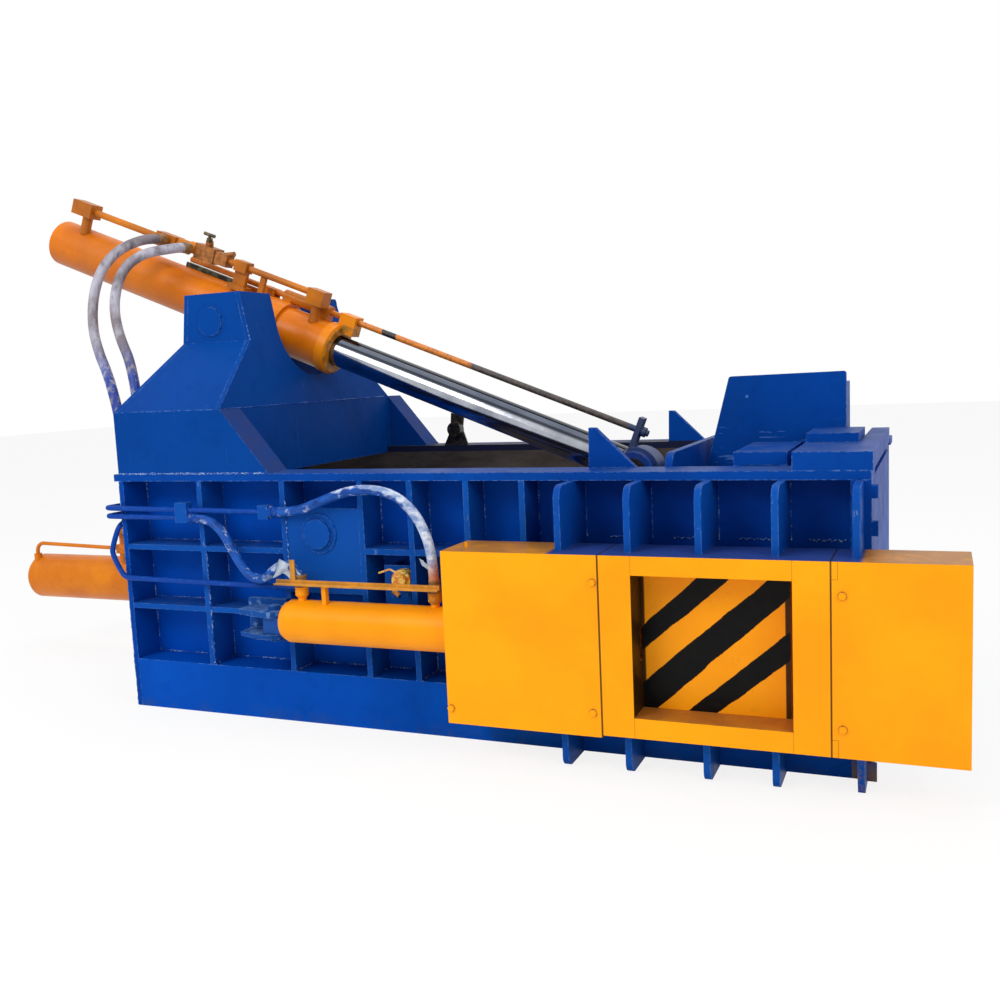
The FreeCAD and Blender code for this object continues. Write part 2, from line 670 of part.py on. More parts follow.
def build_tower():
    shell = tower_shell(0)
    hollow = tower_shell(TOWER_PLATE)
    front_line = [(front_x(z) - TOWER_PLATE, z) for z in (TOWER_CREASE_Z, TOWER_TOP_Z)]
    front_band = leaning_strip(front_line, TOWER_PLATE)
    rear_line = [(TOWER_LEFT, TOWER_CREASE_Z), (TOWER_SHOULDER_LEFT, TOWER_SHOULDER_Z),
                 (TOWER_TOP_LEFT, TOWER_TOP_Z)]
    rear_band = leaning_strip(rear_line, TOWER_PLATE)
    inner_side = FRAME_HALF_WIDTH - TOWER_BOX_WIDTH
    skirt = box(TOWER_CREASE_X - TOWER_PLATE, TOWER_CREASE_X, -inner_side, inner_side,
                FLANGE_BOTTOM, TOWER_CREASE_Z)
    skirt = skirt.cut(box(TOWER_CREASE_X - TOWER_PLATE, TOWER_CREASE_X, -inner_side,
                          -CHAMBER_HALF_WIDTH, FLANGE_BOTTOM, FLANGE_TOP))
    skirt = skirt.cut(box(TOWER_CREASE_X - TOWER_PLATE, TOWER_CREASE_X, CHAMBER_HALF_WIDTH,
                          inner_side, FLANGE_BOTTOM, FLANGE_TOP))
    front = fuse([shell.common(front_band), skirt]).cut(notch(FRONT_NOTCH_Z))
    rear = shell.common(rear_band).cut(notch(REAR_NOTCH_Z))
    bore = cyl((TRUNNION_X, -FRAME_HALF_WIDTH, TRUNNION_Z), (TRUNNION_X, FRAME_HALF_WIDTH, TRUNNION_Z),
               TRUNNION_BOSS_D)
    cheeks = shell.cut([hollow, front_band, rear_band, bore])
    save("tower_side_boxes", [tower_box(), mirrored(tower_box())])
    save("tower_front_plate", [front])
    save("tower_rear_plate", [rear])
    bushes = []
    for face, outward in ((TOWER_NEAR_HEAD_Y, -1), (TOWER_FAR_HEAD_Y, 1)):
        inner = (TRUNNION_X, face - outward * TRUNNION_BUSH, TRUNNION_Z)
        cup = cyl((TRUNNION_X, face + outward * TRUNNION_CAP, TRUNNION_Z), inner, TRUNNION_BOSS_D)
        bore = cyl((TRUNNION_X, face, TRUNNION_Z), inner, TRUNNION_D + 2 * RUNNING_CLEARANCE)
        bushes.append(cup.cut(bore))
    save("tower_cheeks", cheeks.Solids + bushes)


# ---------------------------------------------------------------- fixed roof and top fittings


def build_roof():
    half = CHAMBER_HALF_WIDTH
    skin_top = ROOF_BOTTOM + ROOF_SKIN
    plate_right = CROSS_PLATE_X + CROSS_PLATE_THICKNESS
    pieces = [box(plate_right, INNER_RIGHT, -half, half, ROOF_BOTTOM, skin_top)]
    guide_gap = box(plate_right, INNER_RIGHT, GUIDE_PLATE_Y, GUIDE_PLATE_Y + PLATE, skin_top, FLANGE_TOP)
    for x in (1161.0, 1336.0, 1403.0, 1576.0):
        rib = box(x, x + PLATE, -half, half, skin_top, FLANGE_TOP - 60)
        post = box(x, x + PLATE, -half, GUIDE_PLATE_Y, skin_top, FLANGE_TOP)
        pieces.append(fuse([rib, post]).cut(guide_gap))
    save("chamber_roof", [fuse(pieces)])
    ram_roof = box(INNER_LEFT, HINGE_X - HINGE_BOSS_D / 2 - 20, -half, half, LID_BOTTOM, LID_BOTTOM + PLATE)
    ribs = [box(x, x + PLATE, -half, half, LID_BOTTOM + PLATE, LID_BOTTOM + 120)
            for x in (-1500.0, -1200.0, -900.0)]
    save("ram_roof", [fuse([ram_roof] + ribs)])
    outline = [(-half, ROOF_BOTTOM), (half, ROOF_BOTTOM), (half, CROSS_PLATE_TOP),
               (-half, CROSS_PLATE_TOP, 60)]
    save("cross_plate", [prism_yz(outline, CROSS_PLATE_X, plate_right)])
    blade_left = LID_RIGHT + LID_BLADE_THICKNESS + SHEAR_GAP
    save("fixed_shear_blade", [box(blade_left, CROSS_PLATE_X, -half + 15, half - 15, LID_BOTTOM, 900)])
    guide = [(plate_right, skin_top), (INNER_RIGHT - PLATE, skin_top), (INNER_RIGHT - PLATE, 1000),
             (1527, 1120), (1527, 1445, 12), (1045, 1440, 12), (plate_right, 1000)]
    gusset = prism_xy([(1527, GUIDE_PLATE_Y + PLATE), (1527, GUIDE_PLATE_Y + 190),
                       (1390, GUIDE_PLATE_Y + PLATE)], FLANGE_TOP, 1400)
    save("centre_guide_plate", [fuse([prism_xz(guide, GUIDE_PLATE_Y, GUIDE_PLATE_Y + PLATE), gusset])])
    cap_top = FLANGE_TOP + 67
    cap = fuse([box(1403, FRAME_RIGHT + 5, -FRAME_HALF_WIDTH, -416, FLANGE_TOP, cap_top),
                box(INNER_RIGHT, FRAME_RIGHT + 5, -416, END_WALL_STEP_Y, FLANGE_TOP, cap_top)])
    strip = box(INNER_RIGHT, FRAME_RIGHT - END_WALL_STEP, -CHAMBER_HALF_WIDTH, CHAMBER_HALF_WIDTH,
                FLANGE_BOTTOM, FLANGE_TOP)
    save("roof_blocks", [fuse([cap, strip]), box(1161, 1361, -637, -145, FLANGE_TOP, FLANGE_TOP + 51),
                         box(1403, INNER_RIGHT - 1, -415, GUIDE_PLATE_Y, FLANGE_TOP, FLANGE_TOP + 102)])
    bracket = prism_xz([(-690, FLANGE_TOP), (-545, FLANGE_TOP), (-575, 1200), (-560, 1290), (-640, 1290),
                        (-650, 1190)], CHAMBER_HALF_WIDTH + 20, CHAMBER_HALF_WIDTH + 32)
    body = cyl((-605, CHAMBER_HALF_WIDTH - 30, 1200), (-605, CHAMBER_HALF_WIDTH + 20, 1200), 80)
    save("limit_switch_bracket", [fuse([bracket, body])])


# ---------------------------------------------------------------- lid, hinge and lid cylinder


def lid_frame():
    half = CHAMBER_HALF_WIDTH - LID_SIDE_GAP
    pieces = [box(LID_LEFT, LID_RIGHT, -half, half, LID_BOTTOM, LID_BOTTOM + LID_SKIN)]
    for y in LID_RIB_Y:
        pieces.append(box(LID_LEFT, LID_RIGHT, y, y + PLATE, LID_BOTTOM + LID_SKIN, LID_TOP))
    for x in (LID_LEFT, 150.0, LID_RIGHT - PLATE):
        pieces.append(box(x, x + PLATE, -half, half, LID_BOTTOM + LID_SKIN, LID_TOP))
    outer_end = CHAMBER_HALF_WIDTH - LID_BARREL_GAP
    for y0 in (-outer_end, -LID_BARREL_LENGTH / 2, outer_end - LID_BARREL_LENGTH):
        y1 = y0 + LID_BARREL_LENGTH
        pieces.append(cyl((HINGE_X, y0, HINGE_Z), (HINGE_X, y1, HINGE_Z), HINGE_BOSS_D))
        arm = [(HINGE_X, LID_BOTTOM), (LID_LEFT + PLATE, LID_BOTTOM), (LID_LEFT + PLATE, LID_TOP),
               (HINGE_X, LID_TOP)]
        pieces.append(prism_xz(arm, y0, y1))
    for side in (-1, 1):
        y0 = side * LID_LUG_INNER
        y1 = side * (LID_LUG_INNER + LID_LUG_THICKNESS)
        lug = [(LID_PIN_X - 260, LID_BOTTOM + LID_SKIN), (LID_PIN_X + 200, LID_BOTTOM + LID_SKIN),
               (LID_PIN_X + LID_LUG_R, LID_PIN_Z), (LID_PIN_X - LID_LUG_R, LID_PIN_Z)]
        pieces.append(prism_xz(lug, min(y0, y1), max(y0, y1)))
        pieces.append(cyl((LID_PIN_X, y0, LID_PIN_Z), (LID_PIN_X, y1, LID_PIN_Z), 2 * LID_LUG_R))
    shaft = cyl((HINGE_X, -half, HINGE_Z), (HINGE_X, half, HINGE_Z),
                HINGE_SHAFT_D + 2 * RUNNING_CLEARANCE)
    reach = LID_LUG_INNER + LID_LUG_THICKNESS
    pin = cyl((LID_PIN_X, -reach, LID_PIN_Z), (LID_PIN_X, reach, LID_PIN_Z),
              LID_PIN_D + 2 * RUNNING_CLEARANCE)
    return fuse(pieces).cut([shaft, pin])


def hinge_shaft():
    length = 2 * FRAME_HALF_WIDTH
    collar = HINGE_COLLAR
    collar_r = HINGE_COLLAR_D / 2
    shaft_r = HINGE_SHAFT_D / 2
    profile = [(-collar - HINGE_END, HINGE_END_D / 2), (-collar, HINGE_END_D / 2), (-collar, collar_r),
               (0, collar_r), (0, shaft_r), (length, shaft_r), (length, collar_r),
               (length + collar, collar_r)]
    return turned(profile, (HINGE_X, -FRAME_HALF_WIDTH, HINGE_Z), (0, 1, 0))


def build_lid():
    half = CHAMBER_HALF_WIDTH - LID_SIDE_GAP
    save("lid_frame", [lid_frame()])
    save("lid_hinge_shaft", [hinge_shaft()])
    reach = LID_LUG_INNER + LID_LUG_THICKNESS
    profile = [(0, LID_PIN_D / 2 + 15), (15, LID_PIN_D / 2 + 15), (15, LID_PIN_D / 2),
               (2 * reach + 30, LID_PIN_D / 2)]
    save("lid_pin", [turned(profile, (LID_PIN_X, -reach - 15, LID_PIN_Z), (0, 1, 0))])
    save("lid_blade", [box(LID_RIGHT, LID_RIGHT + LID_BLADE_THICKNESS, -half, half, LID_BOTTOM, 880)])


LID_SLOPE = math.degrees(math.atan2(TRUNNION_Z - LID_PIN_Z, LID_PIN_X - TRUNNION_X))
LID_REACH = math.hypot(LID_PIN_X - TRUNNION_X, TRUNNION_Z - LID_PIN_Z)


def on_cylinder(shape):
    """Move a shape drawn along +X from the trunnion to the cylinder's slope."""
    shape = shape.copy()
    shape.rotate(V(0, 0, 0), V(0, 1, 0), LID_SLOPE)
    shape.translate(V(TRUNNION_X, 0, TRUNNION_Z))
    return shape


def trunnion_ring():
    return tube((-90, 0, 0), (90, 0, 0), LID_BARREL_D + 36, LID_BARREL_D - 2)


def lid_barrel():
    rear = LID_BARREL_REAR
    cap = turned([(rear, LID_BARREL_D / 2 - 14), (rear + 14, LID_BARREL_D / 2),
                  (LID_BARREL_FRONT, LID_BARREL_D / 2)], (0, 0, 0), (1, 0, 0))
    bore = cyl((rear + LID_CAP, 0, 0), (LID_BARREL_FRONT, 0, 0), LID_BORE_D)
    near = cyl((0, -LID_BORE_D / 2 - 5, 0), (0, TOWER_NEAR_HEAD_Y + TRUNNION_END, 0), TRUNNION_D)
    far = cyl((0, LID_BORE_D / 2 + 5, 0), (0, TOWER_FAR_HEAD_Y - TRUNNION_END, 0), TRUNNION_D)
    return fuse([cap, trunnion_ring(), near, far]).cut(bore)


def gland_ring():
    bore = LID_ROD_D + 2 * LINKAGE_CLEARANCE
    front = LID_GLAND_FRONT
    body = turned([(LID_BARREL_FRONT, LID_GLAND_D / 2), (front - 12, LID_GLAND_D / 2),
                   (front, LID_GLAND_D / 2 - 14)], (0, 0, 0), (1, 0, 0))
    block = box(front, front + 62, INDICATOR_Y - 38, INDICATOR_Y + 38, 92, INDICATOR_RISE + 24)
    holes = [cyl((LID_BARREL_FRONT, 0, 0), (front, 0, 0), bore),
             cyl((front - 90, INDICATOR_Y, INDICATOR_RISE), (front + 62, INDICATOR_Y, INDICATOR_RISE),
                 INDICATOR_D + 2 * LINKAGE_CLEARANCE)]
    foot = box(front - 30, front, INDICATOR_Y - 38, INDICATOR_Y + 38, 100, INDICATOR_RISE + 24)
    return fuse([body, block, foot]).cut(holes)


def cylinder_fittings():
    """Brackets and the indicator's guide tube on top of the barrel."""
    skin = LID_BARREL_D / 2 - 2
    y = LINE_Y
    rise = LINE_RISE
    guide = cyl((24, INDICATOR_Y, INDICATOR_RISE), (312, INDICATOR_Y, INDICATOR_RISE), 62)
    saddles = [box(x, x + 54, INDICATOR_Y - 30, INDICATOR_Y + 30, 112, INDICATOR_RISE) for x in (26, 254)]
    channel = cyl((-120, INDICATOR_Y, INDICATOR_RISE), (340, INDICATOR_Y, INDICATOR_RISE),
                  INDICATOR_D + 2 * LINKAGE_CLEARANCE)
    guide = fuse([guide] + saddles).cut(channel)
    cheeks = [box(-112, -30, INDICATOR_Y - 32, INDICATOR_Y - 20, 112, INDICATOR_RISE + 12),
              box(-112, -30, INDICATOR_Y + 20, INDICATOR_Y + 32, 112, INDICATOR_RISE + 12)]
    bracket = fuse([box(-250, -175, y - 12, y + 12, skin - 8, rise),
                    box(-260, -156, y - 32, y + 32, skin - 8, 140),
                    box(-250, -175, y - 32, y + 32, rise - 28, rise + 28)])
    bracket = bracket.cut(cyl((-260, y, rise), (-165, y, rise), LINE_D))
    standoff = box(-90, -60, y - 10, y + 10, skin - 8, rise - LINE_D / 2)
    rail = box(-620, -130, INDICATOR_Y - 12, INDICATOR_Y + 14, 112, 146)
    shell = [cyl((LID_BARREL_REAR, 0, 0), (LID_BARREL_FRONT, 0, 0), LID_BARREL_D), trunnion_ring()]
    return [piece.cut(shell) for piece in [guide, bracket, standoff, rail] + cheeks]


def oil_line():
    """Rear port block, long pipe, manifold, front pipe and front port block."""
    y = LINE_Y
    rise = LINE_RISE
    skin = LID_BARREL_D / 2 - 6
    rear_block = fuse([box(-1355, -1223, y - 42, y + 42, 190, 266),
                       cyl((-1271, y, skin - 20), (-1271, y, 190), 54)])
    long_pipe = cyl((-1223, y, 228), (-768, y, 228), 36)
    outer_x, outer_rise = OUTER_STUB
    inner_x, inner_rise = INNER_STUB
    manifold = fuse([
        box(-768, -640, y - 36, y + 36, 188, 262),
        cyl((outer_x, y - 36, outer_rise), (outer_x, HOSE_STUB_END_Y, outer_rise), 50),
        cyl((-640, y, rise), (-576, y, rise), 52),
        cyl((inner_x, y, inner_rise), (inner_x, HOSE_STUB_END_Y, inner_rise), 46),
        cyl((-576, y, rise), (-504, y, rise), 50),
        cyl((-558, y, rise), (-516, y, rise), 62),
    ])
    front_pipe = fuse([cyl((-302, y, rise), (-250, y, rise), LINE_D),
                       cyl((-250, y, rise), (216, y, rise), LINE_D)])
    front_block = fuse([box(216, 311, y - 40, y + 40, 186, 264),
                        cyl((265, y, skin - 20), (265, y, 186), 46)])
    shell = cyl((LID_BARREL_REAR, 0, 0), (LID_BARREL_FRONT, 0, 0), LID_BARREL_D)
    return [fuse([rear_block, long_pipe, manifold]).cut(shell), fuse([front_pipe, front_block]).cut(shell)]


def valve_frame(shape):
    """Move a shape drawn up +Z from the needle valve's centre to its place on the barrel."""
    shape = shape.copy()
    shape.rotate(V(0, 0, 0), V(1, 0, 0), VALVE_TILT)
    shape.translate(V(VALVE_X, LINE_Y, LINE_RISE))
    return on_cylinder(shape)


def needle_valve():
    top = VALVE_BODY_TOP
    y = LINE_Y
    body = fuse([box(-504, -380, y - 40, y + 40, LINE_RISE - 42, LINE_RISE + 38),
                 box(-380, -302, y - 32, y + 32, LINE_RISE - 34, LINE_RISE + 30),
                 cyl((-345, y, LINE_RISE + 20), (-285, y, LINE_RISE + 44), 26)])
    collar = valve_frame(fuse([cyl((0, 0, 0), (0, 0, top + 34), 40)]))
    stem_hole = valve_frame(cyl((0, 0, top - 30), (0, 0, top + 60), VALVE_STEM_D + 1.2))
    return fuse([on_cylinder(body), collar]).cut(stem_hole)


def valve_handle():
    top = VALVE_BODY_TOP
    stem = cyl((0, 0, top - 22), (0, 0, top + 70), VALVE_STEM_D)
    nut = Part.Face(polygon_ring(V(0, 0, top + 38), V(0, 0, 1), 34, 6)).extrude(V(0, 0, 12))
    bar = cyl((-33, 0, top + 70), (33, 0, top + 70), 18)
    return valve_frame(fuse([stem, nut, bar]))


def lid_rod():
    front = LID_REACH
    rear = LID_PISTON_REAR
    body = turned([(rear, LID_BORE_D / 2 - LINKAGE_CLEARANCE),
                   (rear + LID_PISTON_LENGTH, LID_BORE_D / 2 - LINKAGE_CLEARANCE),
                   (rear + LID_PISTON_LENGTH, LID_ROD_D / 2), (front - 60, LID_ROD_D / 2)],
                  (0, 0, 0), (1, 0, 0))
    eye = cyl((front, -LID_EYE_HALF_WIDTH, 0), (front, LID_EYE_HALF_WIDTH, 0), LID_EYE_D)
    bore = cyl((front, -LID_EYE_HALF_WIDTH, 0), (front, LID_EYE_HALF_WIDTH, 0),
               LID_PIN_D + 2 * RUNNING_CLEARANCE)
    return fuse([body, eye]).cut(bore)


def indicator_rod():
    y = INDICATOR_Y
    rise = INDICATOR_RISE
    lug_at = LID_REACH - 82
    rod = cyl((INDICATOR_BACK, y, rise), (lug_at + 60, y, rise), INDICATOR_D)
    lug = box(lug_at, lug_at + 24, y - 30, y + 30, 60, rise + 60)
    nut = cyl((lug_at + 24, y, rise), (lug_at + 48, y, rise), 46)
    clear = cyl((INDICATOR_BACK, 0, 0), (LID_REACH, 0, 0), LID_ROD_D)
    eye = cyl((LID_REACH, -FRAME_HALF_WIDTH, 0), (LID_REACH, FRAME_HALF_WIDTH, 0), LID_EYE_D)
    return fuse([rod, lug, nut]).cut([clear, eye])


def build_lid_cylinder():
    save("lid_cylinder_barrel", [on_cylinder(lid_barrel())])
    save("lid_gland_ring", [on_cylinder(gland_ring())])
    save("lid_cylinder_brackets", [on_cylinder(piece) for piece in cylinder_fittings()])
    save("lid_cylinder_oil_line", [on_cylinder(piece) for piece in oil_line()])
    save("needle_valve_body", [needle_valve()])
    save("needle_valve_handle", [valve_handle()])
    save("lid_rod", [on_cylinder(lid_rod())])
    save("indicator_rod", [on_cylinder(indicator_rod())])


# ---------------------------------------------------------------- main ram


def main_barrel():
    rear = MAIN_BARREL_REAR
    r = MAIN_BARREL_D / 2
    profile = [(rear - MAIN_DOME_RISE, r * 0.5), (rear - MAIN_DOME_RISE * 0.55, r * 0.87), (rear, r),
               (MAIN_BARREL_FRONT, r)]
    barrel = turned(profile, (0, 0, MAIN_AXIS_Z), (1, 0, 0))
    flange = cyl((INNER_LEFT, 0, MAIN_AXIS_Z), (INNER_LEFT + 60, 0, MAIN_AXIS_Z), MAIN_FLANGE_D)
    bore = cyl((rear + 50, 0, MAIN_AXIS_Z), (MAIN_BARREL_FRONT - MAIN_GLAND, 0, MAIN_AXIS_Z),
               MAIN_BORE_D)
    rod_hole = cyl((rear + 50, 0, MAIN_AXIS_Z), (MAIN_BARREL_FRONT, 0, MAIN_AXIS_Z),
                   MAIN_ROD_D + 2 * RUNNING_CLEARANCE)
    return fuse([barrel, flange]).cut([bore, rod_hole])


def main_port_pipe():
    """Rear port with a long pipe to the tee beside the frame."""
    top = MAIN_AXIS_Z + MAIN_BARREL_D / 2
    y = MAIN_PORT_Y
    rear, front = MAIN_PORTS
    foot = top - 50
    run = pipe([(rear, y, foot), (rear, y, top + 77), (front - 30, y, top + 59)], 22, PIPE_BEND_R)
    elbow = cyl((rear, y, foot), (rear, y, top + 14), 44)
    tee = fuse([box(front - 30, front + 30, y - 28, y + 28, top + 33, top + 85),
                cyl((front, y, top + 85), (front, y, top + 185), 40),
                cyl((front, y, foot), (front, y, top + 33), 48)])
    shell = cyl((MAIN_BARREL_REAR, 0, MAIN_AXIS_Z), (MAIN_BARREL_FRONT, 0, MAIN_AXIS_Z), MAIN_BARREL_D)
    return [fuse([run, elbow]).cut(shell), tee.cut(shell)]


def ram_head():
    half = CHAMBER_HALF_WIDTH - SHOE_THICKNESS - SLIDE_CLEARANCE
    face_left = RAM_FACE - RAM_FACE_THICKNESS
    pieces = [box(face_left, RAM_FACE, -half, half, RAM_BOTTOM, RAM_TOP),
              box(RAM_BACK, RAM_BACK + RAM_SKIN, -half, half, RAM_BOTTOM, RAM_TOP),
              box(RAM_BACK, RAM_FACE, -half, half, RAM_BOTTOM, RAM_BOTTOM + RAM_SKIN),
              box(RAM_BACK, RAM_FACE, -half, half, RAM_TOP - RAM_SKIN, RAM_TOP)]
    for y in (-half, -220.0, 190.0, half - RAM_SKIN):
        pieces.append(box(RAM_BACK, RAM_FACE, y, y + RAM_SKIN, RAM_BOTTOM, RAM_TOP))
    socket = cyl((RAM_BACK, 0, MAIN_AXIS_Z), (RAM_BACK + RAM_SKIN, 0, MAIN_AXIS_Z), MAIN_ROD_D)
    return fuse(pieces).cut(socket)


def ram_shoes():
    half = CHAMBER_HALF_WIDTH - SLIDE_CLEARANCE
    inner = half - SHOE_THICKNESS
    bottom = FLOOR_TOP + SLIDE_CLEARANCE / 2
    shoes = []
    shoe_end = CHAMBER_HALF_WIDTH - FLOOR_SHOE_GAP
    for y0 in (-shoe_end, shoe_end - FLOOR_SHOE_WIDTH):
        shoes.append(box(RAM_BACK, RAM_FACE, y0, y0 + FLOOR_SHOE_WIDTH, bottom, RAM_BOTTOM))
    for side in (-1, 1):
        for z in (320.0, 620.0):
            shoes.append(box(RAM_BACK, RAM_FACE, min(side * half, side * inner),
                             max(side * half, side * inner), z, z + 80))
    return shoes


def main_rod():
    rear = MAIN_BARREL_REAR + 70
    profile = [(rear, MAIN_BORE_D / 2 - RUNNING_CLEARANCE), (rear + MAIN_PISTON, MAIN_BORE_D / 2
                                                             - RUNNING_CLEARANCE),
               (rear + MAIN_PISTON, MAIN_ROD_D / 2), (RAM_FACE - RAM_FACE_THICKNESS, MAIN_ROD_D / 2)]
    return turned(profile, (0, 0, MAIN_AXIS_Z), (1, 0, 0))


def build_main_ram():
    save("main_cylinder_barrel", [main_barrel()])
    save("main_port_pipe", main_port_pipe())
    save("ram_head", [ram_head()])
    save("ram_shoes", ram_shoes())
    save("main_rod", [main_rod()])


# ---------------------------------------------------------------- sliding gate


def gate_frame():
    """Posts and bars round the opening, grooved for the gate, with a channel for its rod."""
    y0 = HOUSING_FRONT
    y1 = HOUSING_BACK
    outer = box(LEFT_POST_LEFT, RIGHT_POST_RIGHT, y0, y1, HOUSING_BOTTOM, HOUSING_TOP)
    opening = box(OPENING_LEFT, OPENING_RIGHT, y0, y1, OPENING_BOTTOM, OPENING_TOP)
    slot = gate_slot(LEFT_POST_LEFT, RIGHT_POST_RIGHT)
    half = GATE_EAR_HALF + GATE_CHANNEL
    reach = GATE_PIN_REACH + GATE_CHANNEL
    channel = box(LEFT_POST_LEFT, OPENING_LEFT, GATE_MID_Y - half, GATE_MID_Y + half,
                  GATE_AXIS_Z - reach, GATE_AXIS_Z + reach)
    return fuse([outer.cut([opening, slot, channel])] + corner_tabs(0))


def corner_tabs(clearance):
    """Tongues of the right post, let into the right guard's front sheet."""
    x1 = RIGHT_POST_RIGHT + TAB_WIDTH + clearance
    height = TAB_HEIGHT + clearance
    span = (RIGHT_POST_RIGHT, x1, HOUSING_FRONT, HOUSING_FRONT + GUARD_SHEET)
    return [box(*span, HOUSING_BOTTOM, HOUSING_BOTTOM + height),
            box(*span, HOUSING_TOP - height, HOUSING_TOP)]


def gate_slot(x0, x1):
    gap = GATE_THICKNESS / 2 + SLIDE_CLEARANCE
    return box(x0, x1, GATE_MID_Y - gap, GATE_MID_Y + gap, GATE_BOTTOM - SLIDE_CLEARANCE,
               GATE_TOP + SLIDE_CLEARANCE)


def guard_cover(span, open_side, bottom):
    """Folded sheet cover, open towards the frame and towards the gate frame."""
    x0, x1 = span
    t = GUARD_SHEET
    outer = box(x0, x1, HOUSING_FRONT, HOUSING_BACK, bottom, HOUSING_TOP)
    inside = box(x0 + (t if open_side > 0 else 0), x1 - (t if open_side < 0 else 0),
                 HOUSING_FRONT + t, HOUSING_BACK, bottom + t, HOUSING_TOP - t)
    return outer.cut(inside)


def gate_plate():
    y0 = GATE_MID_Y - GATE_THICKNESS / 2
    y1 = GATE_MID_Y + GATE_THICKNESS / 2
    slab = box(GATE_LEFT, GATE_RIGHT, y0, y1, GATE_BOTTOM, GATE_TOP)
    window = prism_xz([(GATE_WINDOW_LEFT, OPENING_BOTTOM, 20), (GATE_WINDOW_LEFT, OPENING_TOP, 20),
                       (GATE_PANEL_LEFT, OPENING_TOP, 20), (GATE_PANEL_LEFT, OPENING_BOTTOM, 20)],
                      y0, y1)
    inner, outer = GATE_EAR_Z
    ears = [box(GATE_PIN_X - 36, GATE_PIN_X + 36, GATE_MID_Y - GATE_EAR_HALF, GATE_MID_Y + GATE_EAR_HALF,
                GATE_AXIS_Z + low, GATE_AXIS_Z + high) for low, high in ((-outer, -inner), (inner, outer))]
    gap = box(GATE_LEFT, GATE_PIN_X + 40, y0, y1, GATE_AXIS_Z - inner, GATE_AXIS_Z + inner)
    pin = cyl((GATE_PIN_X, GATE_MID_Y, GATE_AXIS_Z - GATE_PIN_REACH),
              (GATE_PIN_X, GATE_MID_Y, GATE_AXIS_Z + GATE_PIN_REACH), GATE_PIN_D)
    return fuse([slab.cut([window, gap])] + ears).cut(pin)


def gate_rod():
    rear = GATE_BARREL_REAR + 20
    front = GATE_PIN_X
    piston_r = GATE_BORE_D / 2 - RUNNING_CLEARANCE
    body = turned([(rear, piston_r), (rear + 60, piston_r), (rear + 60, GATE_ROD_D / 2),
                   (front - 60, GATE_ROD_D / 2)], (0, GATE_MID_Y, GATE_AXIS_Z), (1, 0, 0))
    tongue = fuse([box(front - 62, front, GATE_MID_Y - 30, GATE_MID_Y + 30, GATE_AXIS_Z - 26,
                       GATE_AXIS_Z + 26),
                   cyl((front, GATE_MID_Y, GATE_AXIS_Z - 26), (front, GATE_MID_Y, GATE_AXIS_Z + 26), 60)])
    pin = cyl((front, GATE_MID_Y, GATE_AXIS_Z - 26), (front, GATE_MID_Y, GATE_AXIS_Z + 26), GATE_PIN_D)
    return fuse([body, tongue]).cut(pin)


def gate_barrel():
    y = GATE_MID_Y
    z = GATE_AXIS_Z
    r = GATE_BARREL_D / 2
    rear = GATE_BARREL_REAR
    dome = [(rear - GATE_DOME, r * 0.5), (rear - GATE_DOME * 0.55, r * 0.87), (rear, r),
            (GATE_BARREL_FRONT, r)]
    barrel = turned(dome, (0, y, z), (1, 0, 0))
    low, high = CLEVIS_PLATES[0][1] + SLIDE_CLEARANCE, CLEVIS_PLATES[1][0] - SLIDE_CLEARANCE
    lug = box(rear - CLEVIS_BACK - 35, rear - 20, y - 40, y + 40, z + low, z + high)
    lug_hole = cyl((rear - CLEVIS_BACK, y, z + low), (rear - CLEVIS_BACK, y, z + high), CLEVIS_PIN_D)
    neck = z + r - 12
    ports = [turned([(0, GATE_PORT_NECK_D / 2), (22, GATE_PORT_NECK_D / 2), (36, GATE_PORT_D / 2),
                     (GATE_PORT_TOP - neck, GATE_PORT_D / 2)], (x, y, neck), (0, 0, 1))
             for x in GATE_PORTS]
    ports.append(box(ANGLE_POST_X, ANGLE_POST_X + 20, y - 39, y - 15, z + r - 22, ANGLE_Z))
    bore = cyl((rear + 10, y, z), (GATE_BARREL_FRONT - 60, y, z), GATE_BORE_D)
    rod_hole = cyl((rear + 10, y, z), (GATE_BARREL_FRONT, y, z), GATE_ROD_D + 2 * RUNNING_CLEARANCE)
    return fuse([barrel, lug] + ports).cut([bore, rod_hole, lug_hole])


def gate_bracket():
    """Pad on the ribs with two clevis plates, and the upright pin through them."""
    y = GATE_MID_Y
    z = GATE_AXIS_Z
    pin_x = GATE_BARREL_REAR - CLEVIS_BACK
    pad_face = -FRAME_HALF_WIDTH - 26
    pad = box(-945, -747, pad_face, -FRAME_HALF_WIDTH, 370, 560)
    outline = [(-930, pad_face), (-930, y - 20), (pin_x - 20, y - 60), (pin_x + 15, y - 60),
               (pin_x + 45, y - 30), (pin_x + 45, pad_face)]
    plates = [prism_xy(outline, z + low, z + high) for low, high in CLEVIS_PLATES]
    pin_bottom = (pin_x, y, z + CLEVIS_PLATES[0][0] - 15)
    pin = cyl(pin_bottom, (pin_x, y, z + CLEVIS_PLATES[1][1] + 20), CLEVIS_PIN_D)
    return [fuse([pad] + plates).cut(pin), pin]


def guard_fasteners():
    """Hexagon heads on the guards' faces and one stud on top of the left guard."""
    heads = [(730, 735), (718, 248), (141, 217), (1592, 721), (1592, 265)]
    bolts = bolt_heads([(x, HOUSING_FRONT, z) for x, z in heads], (0, -1, 0), BOLT_ACROSS, BOLT_HEIGHT)
    stud_y = GATE_MID_Y - 46
    bolts.append(cyl((190, stud_y, HOUSING_TOP), (190, stud_y, HOUSING_TOP + 20), 14))
    return bolts


